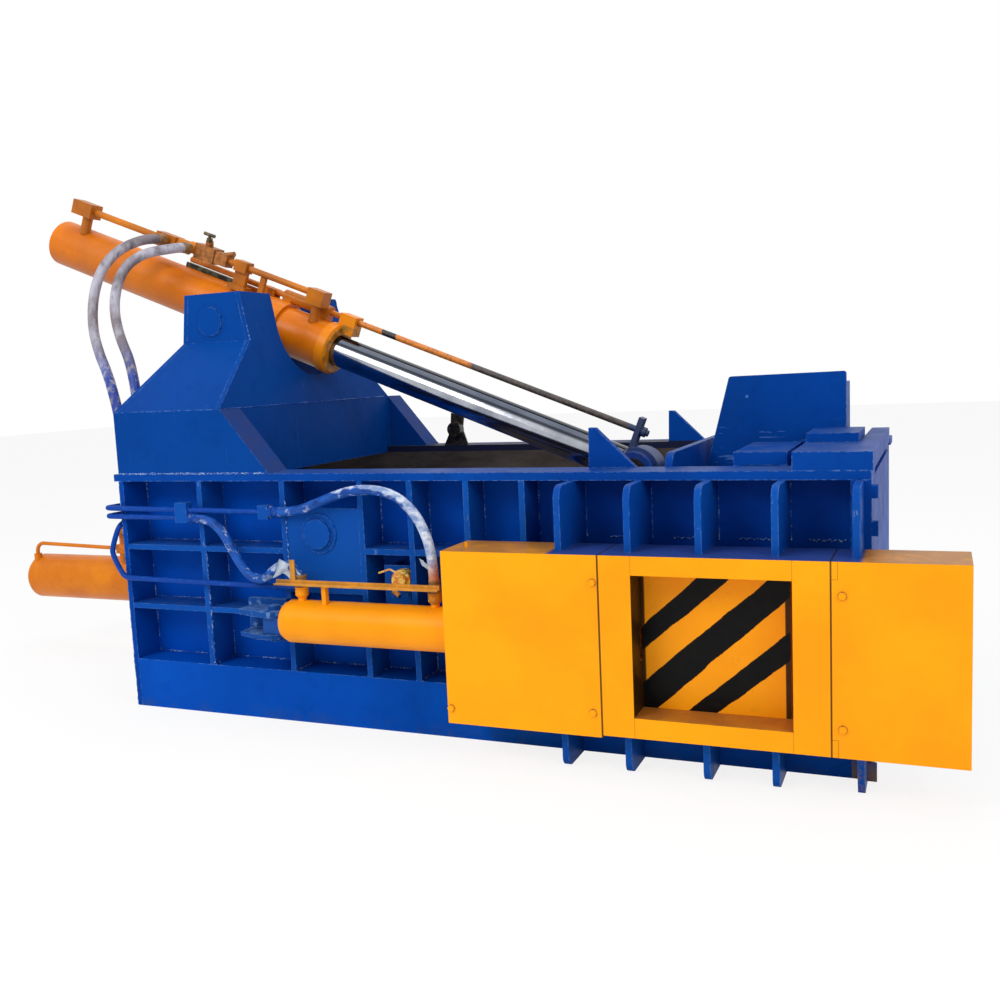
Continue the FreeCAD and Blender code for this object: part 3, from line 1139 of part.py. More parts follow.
def pipe_support_angle():
    """Angle bar along the barrel with one upright strap."""
    front = GATE_MID_Y - ANGLE_OFFSET
    back = front + ANGLE_SHEET
    x0, x1 = ANGLE_SPAN
    return fuse([box(x0, x1, front, back, ANGLE_Z, ANGLE_Z + ANGLE_HEIGHT),
                 box(x0, x1, front - 22, back, ANGLE_Z, ANGLE_Z + ANGLE_SHEET),
                 box(x0 + 68, x0 + 92, back, back + ANGLE_SHEET, ANGLE_Z, ANGLE_Z + 105)])


def build_gate():
    y = GATE_MID_Y
    z = GATE_AXIS_Z
    save("gate_frame", [gate_frame()])
    guard_left = LEFT_GUARD[0]
    barrel_hole = cyl((guard_left, y, z), (guard_left + GUARD_SHEET, y, z), GATE_BARREL_D + 4)
    save("gate_left_guard", [guard_cover(LEFT_GUARD, 1, LEFT_GUARD_BOTTOM).cut(barrel_hole)])
    right_guard = guard_cover(RIGHT_GUARD, -1, HOUSING_BOTTOM)
    save("gate_right_guard", [right_guard.cut(corner_tabs(1))])
    save("guard_bolts", guard_fasteners())
    save("gate_plate", [gate_plate()])
    pin_bottom = (GATE_PIN_X, y, z - GATE_PIN_REACH)
    save("gate_pin", [cyl(pin_bottom, (GATE_PIN_X, y, z + GATE_EAR_Z[1] + 8), GATE_PIN_D)])
    save("gate_rod", [gate_rod()])
    save("gate_cylinder_barrel", [gate_barrel()])
    save("gate_cylinder_bracket", gate_bracket())
    save("pipe_support_angle", [pipe_support_angle()])


# ---------------------------------------------------------------- side ejector


def build_ejector():
    x = EJECTOR_X
    z = EJECTOR_Z
    plate_y = EJECTOR_PLATE_Y
    barrel_end = plate_y + EJECTOR_PLATE + EJECTOR_STROKE + 160
    outer = box(OPENING_LEFT - 30, OPENING_RIGHT + 30, DOUBLER_OUTER, plate_y, LEDGE_TOP, OPENING_TOP + 25)
    inner = box(OPENING_LEFT, OPENING_RIGHT, DOUBLER_OUTER, plate_y, OPENING_BOTTOM, OPENING_TOP)
    mount = box(OPENING_LEFT - 30, OPENING_RIGHT + 30, plate_y, plate_y + EJECTOR_PLATE, LEDGE_TOP,
                OPENING_TOP + 25)
    hole = cyl((x, plate_y, z), (x, plate_y + EJECTOR_PLATE, z), EJECTOR_BARREL_D)
    save("ejector_housing", [outer.cut(inner), mount.cut(hole)])
    barrel = fuse([cyl((x, plate_y, z), (x, barrel_end, z), EJECTOR_BARREL_D),
                   cyl((x, plate_y + EJECTOR_PLATE, z), (x, plate_y + EJECTOR_PLATE + 35, z), 320)])
    bore = cyl((x, plate_y + 90, z), (x, barrel_end - 40, z), EJECTOR_BORE_D)
    rod_hole = cyl((x, plate_y, z), (x, barrel_end - 40, z), EJECTOR_ROD_D + 2 * RUNNING_CLEARANCE)
    save("ejector_cylinder_barrel", [barrel.cut([bore, rod_hole])])
    piston_r = EJECTOR_BORE_D / 2 - RUNNING_CLEARANCE
    platen_back = CHAMBER_HALF_WIDTH + PLATEN_THICKNESS
    rod = turned([(platen_back, EJECTOR_ROD_D / 2), (barrel_end - 110, EJECTOR_ROD_D / 2),
                  (barrel_end - 110, piston_r), (barrel_end - 50, piston_r)], (x, 0, z), (0, 1, 0))
    save("ejector_rod", [rod])
    platen = box(OPENING_LEFT + PLATEN_GAP, OPENING_RIGHT - PLATEN_GAP, CHAMBER_HALF_WIDTH, platen_back,
                 OPENING_BOTTOM + PLATEN_GAP, OPENING_TOP - PLATEN_GAP)
    save("ejector_platen", [platen])


# ---------------------------------------------------------------- pipes, clamps and hoses


def build_lines():
    y = PIPE_Y
    x, end_y, z = UPPER_PIPE
    upper = pipe([(-830, y, 945), (x, y, z), (x, end_y, z), (x, end_y, PIPE_TOP)], PIPE_D, PIPE_BEND_R)
    x, end_y, z = LOWER_PIPE
    lower = pipe([(-1238, y, 914), (x, y, z), (x, end_y, z), (x, end_y, PIPE_TOP)], PIPE_D, PIPE_BEND_R)
    return_line = pipe([(-690, y, 614), (-1640, y, 626), (-1705, y, 745), (-1672, y + 20, 861),
                        (-1672, -790, 890)], PIPE_D, 60)
    save("near_pipes", [upper, lower, return_line])
    clamps = []
    for x0, x1, z0, z1 in ((-1300, -1236, 895, 985), (-850, -800, 915, 975)):
        block = box(x0, x1, -FRAME_HALF_WIDTH - 45, -FRAME_HALF_WIDTH, z0, z1)
        clamps.append(block.cut([upper, lower]))
    save("pipe_clamps", clamps)


def build_gate_hoses():
    y = PIPE_Y
    port_y = GATE_MID_Y
    rear, front = GATE_PORTS
    hose("gate_hose_rear", [
        (-1236 + HOSE_GAP, y, 914), (-1172, y, 914), (-1092, y - 14, 897), (-1028, y - 24, 840),
        (-985, y - 30, 770), (-940, y - 34, 704), (-884, y - 39, 656), (-822, y - 44, 652),
        (-765, y - 50, 698), (-705, y - 58, 732), (-646, y - 68, 714), (rear, port_y, 672),
        (rear, port_y, GATE_PORT_TOP)], HOSE_D)
    hose("gate_hose_front", [
        (-800 + HOSE_GAP, y, 945), (-715, y, 945), (-618, y - 12, 962), (-525, y - 20, 995),
        (-435, y - 28, 1026), (-340, y - 38, 1047), (-240, y - 44, 1048), (-150, y - 50, 1025),
        (-80, y - 56, 975), (-28, y - 62, 905), (4, y - 68, 823), (front, port_y, 731),
        (front, port_y, GATE_PORT_TOP)], HOSE_D)


def stub_end(stub):
    """End of a hose stub on the lid cylinder, in the machine's frame."""
    return on_cylinder(Part.Vertex(V(stub[0], HOSE_STUB_END_Y, stub[1]))).Point


def build_lid_hoses():
    start = stub_end(OUTER_STUB)
    x, y, _ = UPPER_PIPE
    hose("lid_hose_outer", [
        (start.x, start.y, start.z), (start.x, -186, start.z), (-1953, -222, 2266), (-2028, -275, 2227),
        (-2070, -330, 2168), (-2102, -378, 2081), (-2109, -425, 1948), (-2081, -468, 1809),
        (-2014, -512, 1690), (-1936, -552, 1593), (-1864, -600, 1493), (-1795, -650, 1384),
        (-1742, -690, 1262), (x, y, 1145), (x, y, PIPE_TOP + HOSE_GAP)], LID_HOSE_D)
    start = stub_end(INNER_STUB)
    x, y, _ = LOWER_PIPE
    hose("lid_hose_inner", [
        (start.x, start.y, start.z), (start.x, -178, start.z), (-1785, -222, 2206), (-1853, -262, 2196),
        (-1896, -305, 2171), (-1943, -345, 2126), (-1967, -385, 2050), (-1971, -420, 1948),
        (-1941, -455, 1851), (-1884, -492, 1748), (-1816, -522, 1653), (-1763, -560, 1546),
        (-1732, -585, 1449), (-1714, -597, 1325), (x, y, 1180), (x, y, PIPE_TOP + HOSE_GAP)], LID_HOSE_D)


def build_sensor():
    """Knob with a loose cable end on its upright bracket, between two ribs."""
    bracket = sensor_bracket()
    x = SENSOR_X
    z = SENSOR_Z
    knob = []
    for diameter, reach in SENSOR_KNOB:
        ring = polygon_ring(V(x, SENSOR_Y, z), V(0, -1, 0), diameter, KNOB_SIDES)
        knob.append(Part.Face(ring).extrude(V(0, -reach, 0)))
    cable = bent_bar([(x - 16, SENSOR_Y - 38, z + 26), (x - 46, SENSOR_Y - 46, z + 46),
                      (x - 100, SENSOR_Y - 48, z + 28)], CABLE_D, CABLE_SIDES, 20)[0]
    drop = cyl((x - 62, SENSOR_Y, z - 56), (x - 34, SENSOR_Y, z - 76), 22)
    save("sensor_fitting", [fuse(knob + [cable]).cut(bracket), drop.cut(bracket)])


build_frame()
build_tower()
build_roof()
build_lid()
build_lid_cylinder()
build_main_ram()
build_gate()
build_ejector()
build_lines()
build_gate_hoses()
build_lid_hoses()
build_sensor()
print("files", len(os.listdir("parts")))
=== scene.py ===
import bpy
import math
import random
from mathutils import Matrix, Vector


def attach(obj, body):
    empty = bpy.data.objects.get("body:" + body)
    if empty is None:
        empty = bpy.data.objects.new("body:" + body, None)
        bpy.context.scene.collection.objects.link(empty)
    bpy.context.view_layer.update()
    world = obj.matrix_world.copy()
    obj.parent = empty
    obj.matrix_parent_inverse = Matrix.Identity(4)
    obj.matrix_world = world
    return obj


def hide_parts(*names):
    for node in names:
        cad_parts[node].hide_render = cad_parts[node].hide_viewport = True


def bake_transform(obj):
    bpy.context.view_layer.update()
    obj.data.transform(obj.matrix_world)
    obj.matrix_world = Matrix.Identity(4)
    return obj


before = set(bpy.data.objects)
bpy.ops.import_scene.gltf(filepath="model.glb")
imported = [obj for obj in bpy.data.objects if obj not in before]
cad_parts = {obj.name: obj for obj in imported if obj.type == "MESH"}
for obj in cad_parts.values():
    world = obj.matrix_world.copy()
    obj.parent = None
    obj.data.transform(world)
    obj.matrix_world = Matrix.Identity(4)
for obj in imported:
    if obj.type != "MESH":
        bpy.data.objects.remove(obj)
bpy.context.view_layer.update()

# ---- Viewpoint
# The baler is seen from its gate side, to the right of the tower and just above the lid, with the
# lens of a small camera held a little out of level.
viewpoint_data = bpy.data.cameras.new("viewpoint")
viewpoint_data.sensor_width = 36.0
viewpoint_data.lens = 37.59
viewpoint_data.clip_end = 200.0
viewpoint = bpy.data.objects.new("viewpoint", viewpoint_data)
bpy.context.collection.objects.link(viewpoint)
right = Vector((0.92180154, 0.3850329, -0.04507311))
top = Vector((-0.00528167, 0.12873211, 0.99166534))
back = Vector((0.38762614, -0.91388058, 0.12069908))
turned_view = Matrix((right, top, back)).transposed().to_4x4()
viewpoint.matrix_world = Matrix.Translation((1.884, -4.629, 1.5)) @ turned_view
bpy.context.scene.camera = viewpoint
bpy.context.scene.view_settings.view_transform = "Standard"

# ---- Wrapped hoses
# Four two-wire hydraulic hoses, factory wrapped in clear film that has gone cloudy and caught blue
# overspray near the frame. The film is creased all along each hose; on the lid hoses the creases are
# darkened with painted shade, and the upper side of the front gate hose is whitened with a painted highlight.
class Flow:
    """One value on its way through a finish; arithmetic on it adds Math nodes."""

    def __init__(self, finish, socket):
        self.finish = finish
        self.socket = socket

    def maths(self, operation, other, swapped=False):
        pair = (other, self) if swapped else (self, other)
        return self.finish.node("Math", {"operation": operation}, {0: pair[0], 1: pair[1]})

    def __add__(self, other):
        return self.maths("ADD", other)

    def __sub__(self, other):
        return self.maths("SUBTRACT", other)

    def __rsub__(self, other):
        return self.maths("SUBTRACT", other, True)

    def __mul__(self, other):
        return self.maths("MULTIPLY", other)

    def __neg__(self):
        return 0.0 - self

    __radd__ = __add__
    __rmul__ = __mul__

    def lesser(self, other):
        return self.maths("MINIMUM", other)

    def greater(self, other):
        return self.maths("MAXIMUM", other)

    def size(self):
        return self.maths("ABSOLUTE", 0.0)

    def step(self, low, high):
        """0 below low, 1 above high, and straight between them."""
        limits = {"Value": self, "From Min": low, "From Max": high}
        return self.finish.node("MapRange", {"clamp": True}, limits)

    def fall(self, low, high):
        """1 below low, 0 above high, and straight between them."""
        return 1.0 - self.step(low, high)

    def near(self, place, core, rim):
        """1 within core of a place, and 0 beyond rim."""
        return (self - place).size().fall(core, rim)


class Finish:
    """A material built from nodes; place is the point on the piece in metres."""

    def __init__(self, name, roughness=0.5, metallic=0.0, coat=0.0, specular=0.5):
        self.material = bpy.data.materials.new(name)
        self.material.use_nodes = True
        self.tree = self.material.node_tree
        self.shader = self.tree.nodes["Principled BSDF"]
        self.shader.inputs["Roughness"].default_value = roughness
        self.shader.inputs["Metallic"].default_value = metallic
        self.shader.inputs["Coat Weight"].default_value = coat
        self.shader.inputs["Specular IOR Level"].default_value = specular
        self.place = self.node("TexCoord", out="Object")
        parts = [self.node("SeparateXYZ", inputs={0: self.place}, out=axis) for axis in "XYZ"]
        self.x, self.y, self.z = parts

    def node(self, kind, settings=None, inputs=None, out=0):
        """Add one node: its settings first, then the values or links of its sockets."""
        made = self.tree.nodes.new("ShaderNode" + kind)
        for name, value in (settings or {}).items():
            setattr(made, name, value)
        for name, value in (inputs or {}).items():
            self.feed(made.inputs[name], value)
        return Flow(self, made.outputs[out])

    def feed(self, socket, value):
        """Link a value or set it; three numbers on a colour socket are a paint chart's."""
        if isinstance(value, Flow):
            self.tree.links.new(value.socket, socket)
        elif socket.type == "RGBA" and len(value) == 3:
            socket.default_value = dimmed(value, 1.0)
        else:
            socket.default_value = value

    def noise(self, scale, detail=4.0, rough=0.5, stretch=None, seed=0.0):
        spot = self.place
        if stretch:
            drawn_out = {"Vector": spot, "Scale": stretch, "Location": (seed, seed, seed)}
            spot = self.node("Mapping", inputs=drawn_out)
        grain = {"Vector": spot, "Scale": scale, "Detail": detail, "Roughness": rough}
        return self.node("TexNoise", inputs=grain)

    def grains(self, scale):
        return self.node("TexVoronoi", inputs={"Vector": self.place, "Scale": scale})

    def mix(self, amount, first, second):
        return self.node("Mix", {"data_type": "RGBA"}, {0: amount, 6: first, 7: second}, out=2)

    def facing(self, axis):
        """How far the surface faces along X, Y or Z."""
        normal = self.node("NewGeometry", out="Normal")
        return self.node("SeparateXYZ", inputs={0: normal}, out=axis)

    def edges(self, radius):
        """1 along the sharp corners of the piece and 0 on its flats."""
        softened = self.node("Bevel", {"samples": 4}, {"Radius": radius})
        flat = self.node("NewGeometry", out="Normal")
        kept = self.node("VectorMath", {"operation": "DOT_PRODUCT"}, {0: softened, 1: flat}, out="Value")
        return (1.0 - kept).step(0.01, 0.12)

    def scratches(self, scale, stretch, seed, least):
        """Thin broken lines, drawn out along the small parts of stretch."""
        return self.noise(scale, 3.0, 0.7, stretch, seed).step(least, least + 0.015)

    def spot(self, x, z, radius, soft):
        """1 inside a round mark on an upright face, centred at x and z."""
        away_x = (self.x - x) * (self.x - x)
        away_z = (self.z - z) * (self.z - z)
        return (away_x + away_z).fall((radius - soft) ** 2, (radius + soft) ** 2)

    def colour(self, value):
        """The colour of the coat, before anything lies on it."""
        self.coat = value
        self.feed(self.shader.inputs["Base Color"], value)

    def layer(self, amount, value):
        """Lay one more colour over the coat, as far as amount says."""
        self.colour(self.mix(amount, self.coat, value))

    def roughness(self, value):
        self.feed(self.shader.inputs["Roughness"], value)

    def relief(self, height, depth):
        bump = self.node("Bump", inputs={"Height": height, "Distance": depth, "Strength": 1.0})
        self.feed(self.shader.inputs["Normal"], bump)

    def mottle(self, pattern, limits, first, second, dulling, least_dull, depth):
        """Two colours in blotches, which also dull the gloss and stand up a little."""
        self.colour(self.mix(pattern.step(*limits), first, second))
        self.roughness(pattern * dulling + least_dull)
        self.relief(pattern, depth)

    def paint(self, *names):
        """Put this finish on finished pieces or on nodes of the frame."""
        for name in names:
            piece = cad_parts[name] if isinstance(name, str) else name
            for slot in piece.material_slots:
                slot.material = self.material
            if not piece.material_slots:
                piece.data.materials.append(self.material)


def dimmed(chart, light):
    """A paint chart's red, green and blue, 0 to 255, as linear light, and that times light."""
    shares = [part / 255 for part in chart]
    linear = [((share + 0.055) / 1.055) ** 2.4 if share > 10 / 255 else share / 12.92 for share in shares]
    return (*(part * light for part in linear), 1.0)


def lay_route(curve, points):
    """One smooth spline, with the points of the route as its controls."""
    spline = curve.splines.new("NURBS")
    spline.points.add(len(points) - 1)
    for control, point in zip(spline.points, points):
        control.co = (*point, 1.0)
    spline.order_u = 3
    spline.use_endpoint_u = True


def round_section(piece, radius, rounding):
    """Give a line its round section and closed ends, and make it a mesh."""
    piece.data.bevel_depth = radius
    piece.data.bevel_resolution = rounding
    piece.data.use_fill_caps = True
    bpy.ops.object.select_all(action="DESELECT")
    piece.select_set(True)
    bpy.context.view_layer.objects.active = piece
    bpy.ops.object.convert(target="MESH")
    return bpy.context.view_layer.objects.active


cylinder_film = Finish("cloudy_hose_film", specular=0.15, coat=0.05)
film_folds = cylinder_film.noise(24.0, 5.0, 0.62, (1.0, 1.0, 0.4))
film_patches = cylinder_film.noise(8.0, 3.0, 0.5, (1.0, 1.0, 0.6), 3.1).step(0.40, 0.60)
cylinder_film.colour(cylinder_film.mix(film_patches, (124, 116, 122), (178, 176, 190)))
# painted shade: the creases of the film are darkened
cylinder_film.layer(film_folds.step(0.54, 0.70), (100, 94, 100))
sprayed_end = (cylinder_film.z.fall(1.56, 1.76)
               * cylinder_film.noise(34.0, 4.0, 0.6, (1.0, 1.0, 0.5)).step(0.36, 0.50))
cylinder_film.layer(sprayed_end * 0.92, (4, 54, 146))
cylinder_film.roughness(film_folds.step(0.2, 0.9) * 0.3 + 0.22)
cylinder_film.relief(film_folds, 0.012)

gate_film = Finish("overspray_on_hose_film", specular=0.15, coat=0.05)
gate_folds = gate_film.noise(32.0, 5.0, 0.6, (0.5, 1.0, 1.0))
gate_white = gate_film.noise(13.0, 4.0, 0.6, (0.8, 1.0, 1.0), 5.3)
# painted highlight: the upward-facing side of the front hose is whitened
crown_highlight = gate_film.x.step(-0.50, -0.42) * gate_film.facing("Z").step(0.0, 0.7)
front_drop = gate_film.x.step(-0.20, -0.06)
rear_end = gate_film.x.step(-0.84, -0.74) * gate_film.x.fall(-0.58, -0.54)
pale_film_and_highlight = (gate_white + crown_highlight * 0.20 + front_drop * 0.24 + rear_end * 0.10).step(0.60, 0.70)
thin_streaks = gate_film.scratches(44.0, (0.22, 1.0, 0.7), 6.4, 0.62)
worn_film = gate_film.mix(gate_folds.step(0.42, 0.62), (118, 142, 186), (206, 214, 230))
gate_film.colour(gate_film.mix(gate_folds.step(0.32, 0.62), (6, 46, 120), (22, 86, 176)))
# the pale film colour covers clear film and the painted highlight on the front hose's upper side
gate_film.layer((pale_film_and_highlight + thin_streaks * 0.7).lesser(1.0), worn_film)
near_gate = front_drop * gate_film.z.fall(0.70, 0.775)
gate_film.layer(near_gate * 0.85, (196, 112, 28))
gate_film.roughness(gate_folds.step(0.2, 0.9) * 0.3 + 0.28)
gate_film.relief(gate_folds, 0.008)

hose_routes = {
    "gate_hose_rear": (0.042, 0.811, [
        (-1.235, -0.870, 0.914), (-1.172, -0.870, 0.914), (-1.092, -0.884, 0.897), (-1.028, -0.894, 0.840),
        (-0.985, -0.900, 0.770), (-0.940, -0.904, 0.704), (-0.884, -0.909, 0.656), (-0.822, -0.914, 0.652),
        (-0.765, -0.920, 0.698), (-0.705, -0.928, 0.732), (-0.646, -0.938, 0.714), (-0.612, -0.944, 0.672),
        (-0.612, -0.944, 0.638)]),
    "gate_hose_front": (0.042, 1.113, [
        (-0.799, -0.870, 0.945), (-0.715, -0.870, 0.945), (-0.618, -0.882, 0.962), (-0.525, -0.890, 0.995),
        (-0.435, -0.898, 1.026), (-0.340, -0.908, 1.047), (-0.240, -0.914, 1.048), (-0.150, -0.920, 1.025),
        (-0.080, -0.926, 0.975), (-0.028, -0.932, 0.905), (0.004, -0.938, 0.823), (0.018, -0.944, 0.731),
        (0.018, -0.944, 0.638)]),
    "lid_hose_outer": (0.050, 1.634, [
        (-1.8859, -0.112, 2.2743), (-1.8859, -0.186, 2.2743), (-1.953, -0.222, 2.266), (-2.028, -0.275, 2.227),
        (-2.070, -0.330, 2.168), (-2.102, -0.378, 2.081), (-2.109, -0.425, 1.948), (-2.081, -0.468, 1.809),
        (-2.014, -0.512, 1.690), (-1.936, -0.552, 1.593), (-1.864, -0.600, 1.493), (-1.795, -0.650, 1.384),
        (-1.742, -0.690, 1.262), (-1.711, -0.715, 1.145), (-1.711, -0.715, 1.041)]),
    "lid_hose_inner": (0.050, 1.541, [
        (-1.7261, -0.112, 2.2162), (-1.7261, -0.178, 2.2162), (-1.785, -0.222, 2.206), (-1.853, -0.262, 2.196),
        (-1.896, -0.305, 2.171), (-1.943, -0.345, 2.126), (-1.967, -0.385, 2.050), (-1.971, -0.420, 1.948),
        (-1.941, -0.455, 1.851), (-1.884, -0.492, 1.748), (-1.816, -0.522, 1.653), (-1.763, -0.560, 1.546),
        (-1.732, -0.585, 1.449), (-1.714, -0.597, 1.325), (-1.709, -0.600, 1.180), (-1.709, -0.600, 1.041)]),
}
for hose_name, (hose_diameter, hose_length, hose_points) in hose_routes.items():
    curve = bpy.data.curves.new(hose_name + "_wrapped", "CURVE")
    curve.dimensions = "3D"
    curve.resolution_u = 10
    lay_route(curve, hose_points)
    hose = bpy.data.objects.new(hose_name + "_wrapped", curve)
    bpy.context.collection.objects.link(hose)
    centre_mesh = bpy.data.meshes.new_from_object(hose)
    hose = round_section(hose, hose_diameter / 2, 6)
    bpy.ops.object.shade_smooth()
    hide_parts(hose_name)
    if hose_name.startswith("lid"):
        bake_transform(hose)
        cylinder_film.paint(hose)
    else:
        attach(hose, "frame")
        gate_film.paint(hose)

# ---- Loose ends of the film
# Where the wrapping stops near the gate cylinder its torn end sticks out as stiff pale leaves, each a
# single sheet that has curled a little and gone cloudy.
torn_film = Finish("torn_film", specular=0.5, coat=0.2)
torn_film.mottle(torn_film.noise(30.0, 5.0, 0.6), (0.40, 0.64), (172, 186, 204),
                 (132, 142, 158), 0.4, 0.25, 0.004)
torn_leaves = {
    "rear_hose_leaf": (-0.958, 0.010, [(-0.743, 0.672), (-0.695, 0.700), (-0.650, 0.668), (-0.605, 0.664),
                                       (-0.600, 0.696), (-0.640, 0.728), (-0.708, 0.756), (-0.722, 0.726)]),
    "front_hose_leaf": (-0.930, 0.006, [(-0.052, 0.772), (-0.030, 0.764), (-0.006, 0.738), (0.006, 0.722),
                                        (-0.016, 0.726), (-0.040, 0.744)]),
}
film_thickness = 0.0015
curl_along_x, curl_along_z = 70.0, 55.0
for leaf_name, (leaf_y, leaf_curl, leaf_outline) in torn_leaves.items():
    bpy.ops.object.select_all(action="DESELECT")
    bpy.ops.mesh.primitive_circle_add(vertices=len(leaf_outline), radius=0.05, fill_type="NGON",
                                      location=(0.0, 0.0, 0.0))
    leaf = bpy.context.active_object
    leaf.name = leaf_name
    for corner, (leaf_x, leaf_z) in zip(leaf.data.vertices, leaf_outline):
        corner.co = (leaf_x, leaf_y, leaf_z)
    bpy.ops.object.mode_set(mode="EDIT")
    bpy.ops.mesh.select_all(action="SELECT")
    bpy.ops.mesh.poke()
    bpy.ops.mesh.subdivide(number_cuts=3)
    bpy.ops.object.mode_set(mode="OBJECT")
    for corner in leaf.data.vertices:
        curled = math.sin(corner.co.x * curl_along_x) * math.sin(corner.co.z * curl_along_z)
        corner.co.y -= leaf_curl * curled
    thickness = leaf.modifiers.new("thickness", "SOLIDIFY")
    thickness.thickness = film_thickness
    bpy.ops.object.modifier_apply(modifier="thickness")
    bpy.ops.object.shade_smooth()
    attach(leaf, "frame")
    torn_film.paint(leaf)

# ---- Hose ends
# Each hose is crimped into a turned steel ferrule with a hexagonal nut that screws onto the pipe or
# port. The ones on pipes were sprayed with the frame, the ones on ports with the cylinder.
def turned(name, sides, steps, at, along, smooth=35.0):
    """Turn a piece on its own axis from its foot up; steps are (rise, radius)."""
    bpy.ops.object.select_all(action="DESELECT")
    bpy.ops.mesh.primitive_circle_add(vertices=sides, radius=steps[0][1], fill_type="NGON",
                                      location=(0.0, 0.0, 0.0))
    piece = bpy.context.active_object
    piece.name = name
    bpy.ops.object.mode_set(mode="EDIT")
    bpy.ops.mesh.select_all(action="SELECT")
    for (rise, radius), (next_rise, next_radius) in zip(steps, steps[1:]):
        lift = {"value": (0.0, 0.0, next_rise - rise)}
        bpy.ops.mesh.extrude_region_move(TRANSFORM_OT_translate=lift)
        growth = next_radius / radius
        bpy.ops.transform.resize(value=(growth, growth, 1.0))
    bpy.ops.mesh.select_all(action="SELECT")
    bpy.ops.mesh.normals_make_consistent(inside=False)
    bpy.ops.object.mode_set(mode="OBJECT")
    piece.rotation_mode = "QUATERNION"
    piece.rotation_quaternion = Vector(along).to_track_quat("Z", "Y")
    piece.location = at
    bpy.ops.object.transform_apply(location=True, rotation=True, scale=True)
    bpy.ops.object.shade_smooth_by_angle(angle=math.radians(smooth))
    return piece


fitting_blue = Finish("oversprayed_fitting", specular=0.10)
fitting_blue.mottle(fitting_blue.noise(60.0, 4.0, 0.6), (0.60, 0.68), (10, 64, 150),
                    (120, 132, 140), 0.3, 0.3, 0.001)
fitting_orange = Finish("oversprayed_port_fitting", specular=0.4)
fitting_orange.mottle(fitting_orange.noise(70.0, 5.0, 0.65), (0.42, 0.60), (150, 98, 40),
                      (104, 92, 70), 0.35, 0.25, 0.001)

# Profiles from the foot up: the rise in metres and the radius as a share of the hose's own.
nut_profile = ((0.0, 1.18), (0.002, 1.30), (0.020, 1.30), (0.022, 1.18))
ferrule_profile = ((0.0, 1.02), (0.002, 1.12), (0.010, 1.12), (0.012, 1.06), (0.016, 1.06), (0.018, 1.12),
                   (0.026, 1.12), (0.028, 1.05))
nut_height = nut_profile[-1][0]
upward, outward, rightward = (0.0, 0.0, 1.0), (0.0, -1.0, 0.0), (1.0, 0.0, 0.0)
hose_end_places = (
    ("gate_hose_rear_pipe_end", "frame", 0.042, (-1.236, -0.870, 0.914), rightward, fitting_blue),
    ("gate_hose_front_pipe_end", "frame", 0.042, (-0.800, -0.870, 0.945), rightward, fitting_blue),
    ("gate_hose_rear_port_end", "frame", 0.042, (-0.612, -0.944, 0.6385), upward, fitting_orange),
    ("gate_hose_front_port_end", "frame", 0.042, (0.018, -0.944, 0.6385), upward, fitting_orange),
    ("lid_hose_outer_pipe_end", "frame", 0.050, (-1.711, -0.715, 1.0405), upward, fitting_blue),
    ("lid_hose_inner_pipe_end", "frame", 0.050, (-1.709, -0.600, 1.0405), upward, fitting_blue),
    ("lid_hose_outer_port_end", "lid_cylinder", 0.050, (-1.8859, -0.1125, 2.2743), outward, fitting_orange),
    ("lid_hose_inner_port_end", "lid_cylinder", 0.050, (-1.7261, -0.1125, 2.2162), outward, fitting_orange),
)
for end_name, end_body, end_width, end_at, end_along, end_finish in hose_end_places:
    nut_steps = [(rise, end_width / 2 * share) for rise, share in nut_profile]
    hexagon = turned(end_name + "_nut", 6, nut_steps, end_at, end_along, 20.0)
    ferrule_foot = Vector(end_at) + Vector(end_along) * nut_height
    ferrule_steps = [(rise, end_width / 2 * share) for rise, share in ferrule_profile]
    ferrule = turned(end_name + "_ferrule", 24, ferrule_steps, ferrule_foot, end_along)
    for fitted in (hexagon, ferrule):
        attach(fitted, end_body)
        end_finish.paint(fitted)

# ---- Near-side pipes
# Three lengths of cold-drawn steel tube, bent on a former and clamped to the frame, then sprayed blue
# together with it.
pipe_blue = Finish("sprayed_pipe", specular=0.10)
pipe_blue.mottle(pipe_blue.noise(40.0, 5.0, 0.65), (0.55, 0.72), (8, 62, 152),
                 (34, 92, 170), 0.25, 0.25, 0.0008)
pipe_radius = 0.0125
pipe_routes = (
    [(-0.830, -0.870, 0.945), (-1.200, -0.870, 0.949), (-1.640, -0.870, 0.954), (-1.706, -0.868, 0.955),
     (-1.711, -0.862, 0.956), (-1.711, -0.810, 0.955), (-1.711, -0.760, 0.955), (-1.711, -0.717, 0.957),
     (-1.711, -0.715, 0.966), (-1.711, -0.715, 1.010), (-1.711, -0.715, 1.040)],
    [(-1.238, -0.870, 0.914), (-1.400, -0.870, 0.915), (-1.640, -0.870, 0.916), (-1.703, -0.868, 0.916),
     (-1.709, -0.862, 0.917), (-1.709, -0.790, 0.916), (-1.709, -0.650, 0.916), (-1.709, -0.602, 0.918),
     (-1.709, -0.600, 0.927), (-1.709, -0.600, 0.990), (-1.709, -0.600, 1.040)],
    [(-0.690, -0.870, 0.614), (-1.100, -0.870, 0.619), (-1.590, -0.870, 0.625), (-1.638, -0.870, 0.628),
     (-1.668, -0.870, 0.668), (-1.702, -0.870, 0.738), (-1.700, -0.868, 0.768), (-1.680, -0.856, 0.836),
     (-1.672, -0.842, 0.866), (-1.672, -0.820, 0.876), (-1.672, -0.790, 0.890)],
)
bpy.ops.object.select_all(action="DESELECT")
pipe_curve = bpy.data.curves.new("near_side_pipes", "CURVE")
pipe_curve.dimensions = "3D"
pipe_curve.resolution_u = 8
for route in pipe_routes:
    lay_route(pipe_curve, route)
pipes = bpy.data.objects.new("near_side_pipes", pipe_curve)
bpy.context.collection.objects.link(pipes)
pipes = round_section(pipes, pipe_radius, 4)
bpy.ops.object.shade_smooth_by_angle(angle=math.radians(40.0))
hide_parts("near_pipes")
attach(pipes, "frame")
pipe_blue.paint(pipes)

